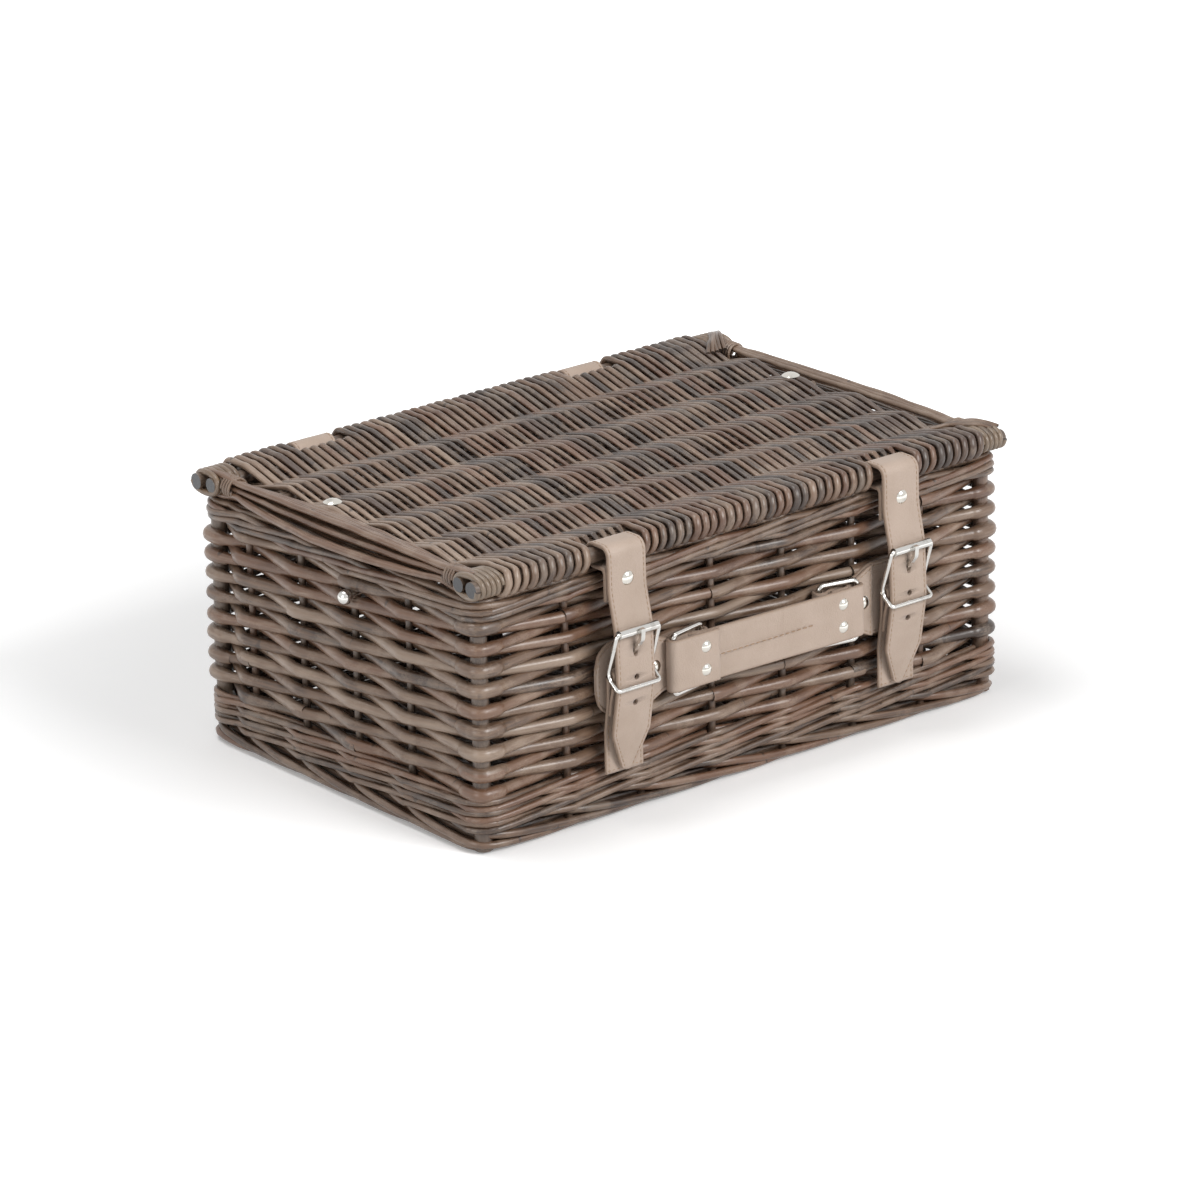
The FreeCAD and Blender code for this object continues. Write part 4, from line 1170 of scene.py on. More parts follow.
@dataclass
class Lid:
    """The lid: two pairs of edge sticks, lengthwise sticks, the woven field, bowed end rods and corner wraps."""

    shop: Workshop
    rows: tuple = (-63.0, -21.0, 21.0, 63.0)
    outer: float = 4.3
    inner: float = 3.9
    stick: float = 2.9
    wide: float = 1.74
    start: float = -161.6
    pitch: float = 2.81
    passes: int = 116
    turn: float = 5.6
    seed: int = 71

    def build(self) -> list[Piece]:
        """Build every willow piece of the lid."""
        return [*self.build_bars(), self.build_sticks(), *self.build_field(), *self.build_ends(),
                self.build_wraps()]

    def build_bars(self) -> list[Piece]:
        """The sticks that edge the lid at its front and its back.

        Returns:
            The front piece and the back piece.
        """
        chance = random.Random(self.seed)
        pieces = []
        for name, sign in (("lid_front_bar", -1), ("lid_back_bar", 1)):
            rods = []
            for y, radius, reach in ((OUTER_STICK, self.outer, 180.0), (INNER_STICK, self.inner, 179.0)):
                spots = [-reach, -150, -90, -30, 30, 90, 150, reach]
                points = [Vector((x, sign * y + chance.uniform(-0.25, 0.25),
                                  LID_MIDDLE + chance.uniform(-0.2, 0.2))) for x in spots]
                rods.append(Rod(points, radius, radius * 0.95, chance.uniform(0.3, 0.5), 0.3))
            piece = self.shop.bundle(name + "_sticks", rods, self.shop.palette.stick, Slot.STICK, self.seed + sign,
                                     sides=20, steps=10, roughness=0.35)
            pieces.append(settle(piece, "lid", name))
        return pieces

    def build_sticks(self) -> Piece:
        """The sticks inside the field, which stick out at both ends.

        Returns:
            The piece.
        """
        chance = random.Random(self.seed + 2)
        rods = []
        for y in self.rows:
            for shift in (-1.5, 1.5):
                reach = [chance.uniform(163.0, 168.0) for _ in range(2)]
                points = [Vector((x, y + shift + chance.uniform(-0.3, 0.3), LID_MIDDLE))
                          for x in (-reach[0], -90, -30, 30, 90, reach[1])]
                rods.append(Rod(points, self.stick * 0.8, self.stick * 0.72, chance.uniform(0.3, 0.6), 0.3))
        piece = self.shop.bundle("lid_stick_rods", rods, self.shop.palette.stick, Slot.STICK, self.seed + 3, sides=12)
        return settle(piece, "lid", "lid_sticks")

    def gap(self, x: float, sign: int) -> bool:
        """Whether a leather loop leaves no room for a turn round the outer stick here."""
        places, width = (STRAP_PLACES, 25.0) if sign < 0 else (LOOP_PLACES, 26.0)
        return any(abs(x - place) < width / 2 + 1.6 for place in places.values())

    def bend(self, sign: int, x: float, after: float, up: bool) -> Line:
        """The points of a turn round the edge sticks at one side.

        Args:
            sign: -1 at the front and 1 at the back.
            x: The pass that comes in.
            after: The pass that goes out.
            up: Whether the turn starts below and comes out above.

        Returns:
            Each point with the rod's swell there.
        """
        way = 1 if up else -1
        far, near = OUTER_STICK, INNER_STICK
        lap = self.turn
        line = [(near - 4.0, -lap + 0.5), (near + 4.0, -lap - 0.1), (far + 1.5, -lap - 0.2), (far + 4.2, -lap * 0.72),
                (far + lap + 0.1, 0.0), (far + 4.2, lap * 0.72), (far + 1.5, lap + 0.2), (near + 4.0, lap + 0.1),
                (near - 4.0, lap - 0.5)]
        found = []
        for i, (y, z) in enumerate(line):
            share = max(0.0, min(1.0, (i - 2) / 4))
            found.append((Vector((x + (after - x) * share, sign * y, LID_MIDDLE + way * z)), 1.22))
        return found

    def build_field(self) -> list[Piece]:
        """The rods of the field, woven to and fro and turned round the edge sticks."""
        chance = random.Random(self.seed + 4)
        panel = Panel(LID_MIDDLE, self.rows, self.stick, self.start, self.pitch, self.passes, self.wide, self.seed)
        halves: tuple[list[Rod], list[Rod]] = ([], [])
        line: Line = []
        left = chance.randrange(2, 6)
        for number in range(self.passes):
            x = self.start + number * self.pitch + chance.uniform(-0.3, 0.3)
            after = self.start + (number + 1) * self.pitch
            points = panel.crossings(number, x, chance)
            if number % 2 == 0:
                points.reverse()
            sign = -1 if number % 2 == 0 else 1
            if left <= 0 and line:
                low = min(range(len(points)), key=lambda i: points[i][0].z)
                self.cut_rod(halves, line + points[:low + 1], chance)
                line, points = [], points[low:]
                left = chance.randrange(1, 4)
            line += points
            up = (number % 2 == 0) == (sign < 0)
            closed = self.gap(x, sign) or self.gap(after, sign)
            last = number == self.passes - 1
            if closed or last:
                way = -1 if up else 1
                tuck = [(-4.0, 5.0, 1.0), (0.6, 5.3, 0.85), (3.2, 3.7, 0.6), (4.3, 1.6, 0.5)]
                line += [(Vector((x, sign * (INNER_STICK + y), LID_MIDDLE + way * z)), s) for y, z, s in tuck]
                self.cut_rod(halves, line, chance)
                line = []
                if not last:
                    line = [(Vector((after, sign * (INNER_STICK + y), LID_MIDDLE - way * z)), s)
                            for y, z, s in reversed(tuck)]
                continue
            line += self.bend(sign, x, after, up)
            left -= 1
        pieces = []
        for i, (name, rods) in enumerate(zip(("left", "right"), halves)):
            piece = self.shop.bundle(f"lid_weave_{name}_rods", rods, self.shop.palette.weave, Slot.WEAVE,
                                     self.seed + 5 + i, sides=10, steps=3, flatness=0.16)
            pieces.append(settle(piece, "lid", "lid_weave"))
        return pieces

    def cut_rod(self, halves: tuple[list[Rod], list[Rod]], line: Line,
                chance: random.Random) -> None:
        """Keep a finished rod with the half of the lid that it starts on.

        Args:
            halves: The rods of the left half and of the right half.
            line: The rod's points, with its swell at each.
            chance: Where the small differences come from.
        """
        points, swell = [point for point, _ in line], [amount for _, amount in line]
        tone = min(0.85, max(-0.05, chance.gauss(0.2, 0.22)))
        rod = Rod(points, self.wide * chance.uniform(0.94, 1.06), self.wide * chance.uniform(0.8, 0.96), tone,
                  chance.choice((0.1, 0.3, 0.45, 0.65)), swell)
        halves[0 if points[0].x < 0 else 1].append(rod)

    def build_ends(self) -> list[Piece]:
        """The straight rods that close the lid's two ends, bundled and tied behind its edge sticks.

        Returns:
            The left piece and the right piece.
        """
        chance = random.Random(self.seed + 9)
        pieces = []
        groups = {"left": ((5, -2.0, 1.4, 1.0), (4, 1.5, -0.8, -0.1), (6, 6.0, -2.4, -1.3)),
                  "right": ((3, 0.5, 1.0, 1.0), (3, 4.5, -1.6, -1.0))}
        for side, sign in SIGN.items():
            rods = []
            for count, out, rise, way in groups[side]:
                for i in range(count):
                    spread = i - (count - 1) / 2
                    line = []
                    for k in range(-9, 10):
                        y = k * 12.4
                        open_share = max(0.0, math.cos(math.pi * y / 196)) if abs(y) < 98 else 0.0
                        x = 171.5 + spread * 1.1 + (out + spread * 1.5) * open_share
                        z = way * 2.6 + spread * 0.5 + rise * open_share + chance.uniform(-0.35, 0.35)
                        if abs(y) > 98:
                            z = way * (self.turn - 0.9) + spread * 0.3
                        line.append(Vector((sign * x, y + chance.uniform(-0.3, 0.3), LID_MIDDLE + z)))
                    rods.append(Rod(line, 1.75, 1.5, chance.uniform(0.25, 0.55), chance.choice((0.2, 0.6))))
            for end in (-1, 1):
                rods += self.tie(sign, end, chance)
            piece = self.shop.bundle(f"lid_{side}_end_rods_tied", rods, self.shop.palette.weave, Slot.WEAVE,
                                     self.seed + 10 + sign, sides=8)
            pieces.append(settle(piece, "lid", f"lid_{side}_end_rods"))
        return pieces

    def tie(self, sign: int, end: int, chance: random.Random) -> list[Rod]:
        """Thin turns round the bundle of end rods, and loose tails that lie over the corner.

        Args:
            sign: -1 for the lid's left end and 1 for its right end.
            end: -1 at the front and 1 at the back.
            chance: Where the small differences come from.

        Returns:
            The thin rods.
        """
        turns, steps = 4, 10
        wind = []
        for i in range(turns * steps + 1):
            angle = 2 * math.pi * i / steps
            wind.append(Vector((sign * (171.5 + 5.6 * math.cos(angle)), end * (97.5 - 2.1 * i / steps),
                                LID_MIDDLE + 5.5 * math.sin(angle))))
        rods = [Rod(wind, 0.95, 0.8, chance.uniform(0.35, 0.6), 0.3)]
        tails = 5 if sign > 0 else 0
        for i in range(tails):
            lean = i - (tails - 1) / 2
            top = LID_MIDDLE + self.turn + 1.1
            spots = ((158.0 + 3.0 * lean, 91.0, top - 2.6), (163.0 + 2.4 * lean, 98.0, top + 0.2),
                     (168.0 + 1.8 * lean, 104.0, top + 0.8 + 0.3 * lean), (173.0 + 1.6 * lean, 110.0, top + 0.4),
                     (176.5 + 1.4 * lean, 115.0, top - 0.9))
            line = [Vector((sign * x, end * y + chance.uniform(-0.6, 0.6), z)) for x, y, z in spots]
            rods.append(Rod(line, 1.25, 0.9, chance.uniform(0.15, 0.45), 0.2))
        return rods

    def build_wraps(self) -> Piece:
        """The rods wound round the edge sticks at the lid's four corners, up to the sticks' cut ends.

        Returns:
            The piece.
        """
        chance = random.Random(self.seed + 13)
        rods = []
        turns, steps, lap = 5, 8, self.turn - 0.2
        for sign in SIGN.values():
            for row in (-1, 1):
                line = []
                for i in range(turns * steps + 1):
                    angle = 2 * math.pi * i / steps
                    half = (OUTER_STICK - INNER_STICK) / 2
                    y = (OUTER_STICK + INNER_STICK) / 2 + math.copysign(half, math.cos(angle)) * (
                        abs(math.cos(angle)) ** 0.5) + lap * math.cos(angle) * 0.75
                    x = 162.5 + 16.2 * i / (turns * steps)
                    line.append(Vector((sign * x + chance.uniform(-0.15, 0.15), row * y,
                                        LID_MIDDLE + lap * math.sin(angle))))
                rods.append(Rod(line, 1.75, 1.65, chance.uniform(0.3, 0.55), chance.choice((0.3, 0.6))))
        piece = self.shop.bundle("lid_corner_wraps", rods, self.shop.palette.cane, Slot.CANE, self.seed + 14)
        return settle(piece, "lid", "lid_corner_bindings")


# ---------------------------------------------------------------- paths and strips

def filleted(points: Sequence[Vector], radii: Sequence[float], closed: bool = False,
             step: float = 14.0) -> list[Vector]:
    """Straight runs joined by round bends.

    Args:
        points: The corners, in millimetres.
        radii: Each corner's radius.
        closed: Whether the last run goes back to the first corner.
        step: The angle between points on a bend, in degrees.

    Returns:
        The points along the path.
    """
    found: list[Vector] = []
    count = len(points)
    for i, here in enumerate(points):
        if not closed and i in (0, count - 1):
            found.append(here.copy())
            continue
        back = (points[i - 1] - here).normalized()
        ahead = (points[(i + 1) % count] - here).normalized()
        turn = math.pi - back.angle(ahead)
        if radii[i] <= 0 or turn < 1e-3:
            found.append(here.copy())
            continue
        reach = radii[i] * math.tan(turn / 2)
        centre = here + (back + ahead).normalized() * (radii[i] / math.cos(turn / 2))
        first, last = here + back * reach - centre, here + ahead * reach - centre
        pieces = max(2, math.ceil(math.degrees(turn) / step))
        for k in range(pieces + 1):
            share = k / pieces
            arm = first * math.sin((1 - share) * turn) + last * math.sin(share * turn)
            found.append(centre + arm / math.sin(turn) if turn < 3.1 else centre + first.lerp(last, share))
    return found


@dataclass
class Strip:
    """A leather strip of even thickness along a path in a plane, with rounded edges."""

    path: Sequence[Point2]
    radii: Sequence[float]
    thick: float
    centre: float
    width: float
    plane: Plane = Plane.SIDE
    closed: bool = False
    stitched: bool = True
    outline: Optional[Callable[[Vector, float, float], float]] = None
    inset: float = 1.9
    line: list[Vector] = field(init=False)
    runs: list[float] = field(init=False)

    def __post_init__(self) -> None:
        """Work out the path's points."""
        rough = filleted([Vector((a, b, 0)) for a, b in self.path], self.radii, self.closed)
        if self.closed:
            rough.append(rough[0].copy())
        self.line = [rough[0]]
        for point in rough[1:]:
            gap = (point - self.line[-1]).length
            if gap < 1e-4:
                continue
            cuts = max(1, round(gap / 1.6))
            start = self.line[-1].copy()
            self.line += [start.lerp(point, (k + 1) / cuts) for k in range(cuts)]
        self.runs = [0.0]
        for a, b in zip(self.line, self.line[1:]):
            self.runs.append(self.runs[-1] + (b - a).length)

    def half(self, number: int) -> float:
        """Half the strip's width at a point of its path."""
        if self.outline is None:
            return self.width / 2
        return self.outline(self.line[number], self.runs[number], self.runs[-1])

    def out(self, number: int) -> Vector:
        """The way out of the strip's first face at a point of its path.

        Args:
            number: The point of the path.

        Returns:
            The way, one unit long.
        """
        last = len(self.line) - 1
        if self.closed and number in (0, last):
            way = self.line[1] - self.line[last - 1]
        else:
            way = self.line[min(last, number + 1)] - self.line[max(0, number - 1)]
        way.normalize()
        return Vector((-way.y, way.x, 0))

    def spot(self, number: int, across: float, rise: float) -> Vector:
        """A point of the strip.

        Args:
            number: The point of the path.
            across: How far it is from the middle line, over the width.
            rise: How far it is from the middle of the thickness.

        Returns:
            The point in millimetres.
        """
        base = self.line[number] + self.out(number) * rise
        if self.plane is Plane.SIDE:
            return Vector((self.centre + across, base.x, base.y))
        return Vector((base.x, base.y, self.centre + across))

    def section(self, half: float) -> list[tuple[float, float, float]]:
        """Points round the strip's section: across, rise and how much of an edge each is.

        Args:
            half: Half the strip's width there.

        Returns:
            The points, in order round the section.
        """
        top, soft = self.thick / 2, min(0.42 * self.thick, 0.8)
        arc = [(half - soft + soft * math.cos(a), top - soft + soft * math.sin(a), 1.0)
               for a in (0.0, math.pi / 6, math.pi / 3, math.pi / 2)]
        arc[-1] = (arc[-1][0], arc[-1][1], 0.4)
        inner = [(half - self.inset + 0.75, top, 0.0), (half - self.inset, top - 0.2, 0.25),
                 (half - self.inset - 0.75, top, 0.0)] if self.stitched else [(half - 1.6, top, 0.0)]
        inner = [(max(across, 0.1 * (len(inner) - i)), rise, edge) for i, (across, rise, edge) in enumerate(inner)]
        quarter = arc + inner + [(0.0, top + 0.05, 0.0)]
        upper = quarter + [(-a, r, e) for a, r, e in reversed(quarter[:-1])]
        return upper + [(-a, -r, e) for a, r, e in upper]

    def build(self, name: str, material: Material) -> Piece:
        """Build the strip's mesh.

        Args:
            name: The piece's name.
            material: Its finish.

        Returns:
            The piece.
        """
        spots: list[Vector] = []
        marks: list[float] = []
        count = len(self.line) - (1 if self.closed else 0)
        for number in range(count):
            for across, rise, edge in self.section(self.half(number)):
                spots.append(self.spot(number, across, rise) * MM)
                marks.append(edge)
        around = len(spots) // count
        faces = []
        for number in range(count if self.closed else count - 1):
            here, after = number * around, (number + 1) % count * around
            faces += [(here + k, here + (k + 1) % around, after + (k + 1) % around, after + k) for k in range(around)]
        if not self.closed:
            faces += [tuple(reversed(range(around))), tuple(range((count - 1) * around, count * around))]
        mesh = bpy.data.meshes.new(name)
        mesh.from_pydata(spots, [], faces)
        mesh.attributes.new("strip_edge", "FLOAT", "POINT").data.foreach_set("value", marks)
        close_mesh(mesh)
        for polygon in mesh.polygons:
            polygon.use_smooth = len(polygon.vertices) == 4
        mesh.materials.append(material)
        piece = bpy.data.objects.new(name, mesh)
        bpy.context.scene.collection.objects.link(piece)
        return piece

    def seam(self, side: int, face: int, start: float, end: float) -> list[Vector]:
        """A line of stitches beside an edge.

        Args:
            side: 1 or -1 for the edge.
            face: 1 or -1 for the face it is sewn on.
            start: Where it starts along the path.
            end: Where it ends along the path.

        Returns:
            Its points.
        """
        rise = face * (self.thick / 2 - 0.12)
        return [self.spot(i, side * max(0.4, self.half(i) - self.inset), rise)
                for i, run in enumerate(self.runs) if start <= run <= end]

    def cross_seam(self, face: int, run: float) -> list[Vector]:
        """A line of stitches straight over the strip at one place of its path.

        Args:
            face: 1 or -1 for the face it is sewn on.
            run: The place along the path.

        Returns:
            Its points.
        """
        number = min(range(len(self.runs)), key=lambda i: abs(self.runs[i] - run))
        reach = self.half(number) - self.inset
        rise = face * (self.thick / 2 - 0.02)
        return [self.spot(number, reach * (k / 4 - 1), rise) for k in range(9)]


def close_mesh(mesh: Mesh) -> None:
    """Turn a closed mesh's faces outwards; they all point the same way to begin with.

    Args:
        mesh: The mesh.
    """
    work = bmesh.new()
    work.from_mesh(mesh)
    if work.calc_volume(signed=True) < 0:
        bmesh.ops.reverse_faces(work, faces=work.faces)
    work.to_mesh(mesh)
    work.free()


def punch(piece: Piece, cutters: Sequence[Mesh]) -> Piece:
    """Cut holes through a piece.

    Args:
        piece: The piece; it keeps its name and its finish.
        cutters: The shapes to take away.

    Returns:
        The piece.
    """
    for mesh in cutters:
        tool = bpy.data.objects.new("cutter", mesh)
        bpy.context.scene.collection.objects.link(tool)
        cut = piece.modifiers.new("hole", "BOOLEAN")
        cut.operation, cut.solver, cut.object, cut.use_self = "DIFFERENCE", "EXACT", tool, True
        bpy.context.view_layer.update()
        evaluated = piece.evaluated_get(bpy.context.evaluated_depsgraph_get())
        result = bpy.data.meshes.new_from_object(evaluated)
        piece.modifiers.clear()
        piece.data = result
        bpy.data.objects.remove(tool)
    return piece


def peg(centre: Vector, way: Vector, radius: float, length: float, sides: int = 20,
        stretch: tuple = (1.0, 1.0)) -> Mesh:
    """A closed cutting shape with round sides.

    Args:
        centre: Its middle, in millimetres.
        way: The way its axis points.
        radius: Its radius.
        length: Its length.
        sides: How many sides it has.
        stretch: How far its section is stretched over its two directions.

    Returns:
        The mesh.
    """
    work = bmesh.new()
    bmesh.ops.create_cone(work, cap_ends=True, segments=sides, radius1=radius * MM, radius2=radius * MM,
                          depth=length * MM)
    bmesh.ops.scale(work, vec=(*stretch, 1.0), verts=work.verts)
    turn = way.to_track_quat("Z", "Y").to_matrix().to_4x4()
    bmesh.ops.transform(work, matrix=Matrix.Translation(centre * MM) @ turn, verts=work.verts)
    mesh = bpy.data.meshes.new("peg")
    work.to_mesh(mesh)
    work.free()
    return mesh


# ---------------------------------------------------------------- leather and metal

@dataclass
class Buckles:
    """The two buckle straps with their loops, wall backings, wire frames, rollers and prongs."""

    shop: Workshop
    skin: float = 2.2
    backing: float = 1.8
    wire: float = 1.2
    half: float = 12.5
    roller: Point2 = (-136.0, 106.2)
    pivot: Point2 = (-128.0, 82.0)
    keeper: Point2 = (-136.0, 76.0)
    tip: float = 28.0

    def build(self) -> None:
        """Build both sides."""
        for side in SIGN:
            self.build_strap(side)
            self.build_backing(side)
            self.build_frame(side)
            for node, finish in (("buckle_roller", self.shop.palette.chrome), ("buckle_prong", self.shop.palette.chrome),
                                 ("strap_rivet", self.shop.palette.nickel)):
                dress(f"{node}_{side}", finish)
        dress("buckle_backing_rivets", self.shop.palette.nickel)

    def strap_path(self) -> tuple[list[Point2], list[float]]:
        """The strap's line from its inner end round the lid's front stick to its tip, and its bends.

        Returns:
            The line's corners, and the radius at each.
        """
        bend = 5.9
        face, back = FRONT - 9.1, FRONT - 9.1 + self.skin + 0.7
        behind_roller = self.roller[0] + 2.3 + 0.3 + self.skin / 2
        behind_keeper = self.keeper[0] + self.wire + 0.3 + self.skin / 2
        line = [(back, RIM_TOP - 15.5), (back, RIM_TOP - 0.5), (-OUTER_STICK - bend - 1.5, LID_MIDDLE - bend),
                (-OUTER_STICK + bend, LID_MIDDLE - bend), (-OUTER_STICK + bend, LID_MIDDLE + bend),
                (face + 0.4, LID_MIDDLE + bend), (face, RIM_TOP - 10), (behind_roller, self.roller[1]),
                (behind_keeper, self.keeper[1]), (FRONT - 6.5, self.tip)]
        return line, [0, 2, 1.5, bend, bend, 5, 20, 20, 20, 0]

    def strap_half(self, point: Vector, run: float, whole: float) -> float:
        """Half the strap's width: it narrows to a blunt point at its tip.

        Args:
            point: A point of the strap's path.
            run: How far along the path it is.
            whole: The path's length.

        Returns:
            Half the width there.
        """
        left = whole - run
        blunt = math.sqrt(max(0.0, 1 - (1 - min(1.0, left / 2.2)) ** 2))
        return min(self.half, 1.6 + 2.0 * blunt + left * 0.41)

    def build_strap(self, side: str) -> None:
        """One strap with its prong slot, its punched holes and its stitching.

        Args:
            side: left or right.
        """
        line, bends = self.strap_path()
        place = STRAP_PLACES[side]
        strip = Strip(line, bends, self.skin, place, 2 * self.half, outline=self.strap_half)
        piece = strip.build(f"strap_{side}_leather", self.shop.palette.leather)
        front = Vector((0, -1, 0))
        tools = [peg(Vector((place, FRONT - 12, 94.7)), front, 1.7, 18, stretch=(1.0, 2.0)),
                 peg(Vector((place, FRONT - 12, 80.5)), front, 1.6, 18),
                 peg(Vector((place, FRONT - 12, 66.3)), front, 1.6, 18)]
        punch(piece, tools)
        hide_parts(f"strap_{side}")
        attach(piece, f"strap_{side}")
        whole = strip.runs[-1]
        seams = [strip.seam(way, 1, 40.0, whole - 2.5) for way in (-1, 1)]
        seams += [strip.seam(way, -1, 40.0, whole - 2.5) for way in (-1, 1)]
        thread = self.shop.threads(f"strap_{side}_stitches", seams)
        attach(thread, f"strap_{side}")
        LOG.info("%s: %d faces", piece.name, len(piece.data.polygons))

    def build_backing(self, side: str) -> None:
        """The strip on the wall that folds round the buckle's middle bar.

        Args:
            side: left or right.
        """
        bend = self.wire + 0.25 + self.backing / 2
        wall = FRONT - 3.0 - 0.3 - self.backing / 2
        upper = self.pivot[0] + bend + 0.3
        knee, neck, end = 50.0, 68.0, 60.0
        last = wall + (upper - wall) * (end - knee) / (neck - knee) - self.backing - 0.45
        line = [(wall, 27.0), (wall, knee), (upper, neck), (self.pivot[0] + bend, self.pivot[1] + bend),
                (self.pivot[0] - bend, self.pivot[1] + bend), (self.pivot[0] - bend, self.pivot[1] - 3),
                (upper - self.backing - 0.45, neck), (last, end)]
        place = STRAP_PLACES[side]
        strip = Strip(line, [0, 12, 12, bend, bend, 6, 10, 0], self.backing, place, 2 * self.half)
        piece = strip.build(f"buckle_backing_{side}_leather", self.shop.palette.leather)
        turned = Matrix.Translation(Vector((place, self.pivot[0], self.pivot[1] + 1)) * MM)
        box = bmesh.new()
        bmesh.ops.create_cube(box, size=1.0)
        bmesh.ops.scale(box, vec=Vector((4.4, 16.0, 14.0)) * MM, verts=box.verts)
        bmesh.ops.transform(box, matrix=turned, verts=box.verts)
        tool = bpy.data.meshes.new("slot")
        box.to_mesh(tool)
        box.free()
        punch(piece, [tool])
        settle(piece, "basket", f"buckle_backing_{side}")
        seams = [strip.seam(way, 1, 1.5, 40.0) for way in (-1, 1)] + [strip.cross_seam(1, 2.0)]
        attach(self.shop.threads(f"buckle_backing_{side}_stitches", seams), "basket")

    def build_frame(self, side: str) -> None:
        """The bent wire frame and its middle bar."""
        place, half = STRAP_PLACES[side], self.half + 0.4 + self.wire

        def corner(way: int, where: Point2) -> Vector:
            """A corner of the frame on one side."""
            return Vector((place + way * half, *where))

        middle = Vector((place, *self.roller))
        ring = [middle, corner(1, self.roller), corner(1, self.pivot), corner(1, self.keeper),
                corner(-1, self.keeper), corner(-1, self.pivot), corner(-1, self.roller), middle + Vector((-0.01, 0, 0))]
        outline = filleted(ring, [0, 2.2, 6, 2.0, 2.0, 6, 2.2, 0], step=10.0)
        bar = [corner(-1, self.pivot), Vector((place, *self.pivot)), corner(1, self.pivot)]
        rods = [Rod(outline, self.wire, self.wire), Rod(bar, self.wire, self.wire)]
        piece = self.shop.bundle(f"buckle_frame_{side}_wire", rods, self.shop.palette.chrome, Slot.CHROME, 5, sides=20,
                                 steps=1, roughness=0.0)
        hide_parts(f"buckle_frame_{side}")
        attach(piece, f"buckle_{side}")


def dress(node: str, material: Material) -> None:
    """Give a CAD node its finish."""
    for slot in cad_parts[node].material_slots:
        slot.material = material


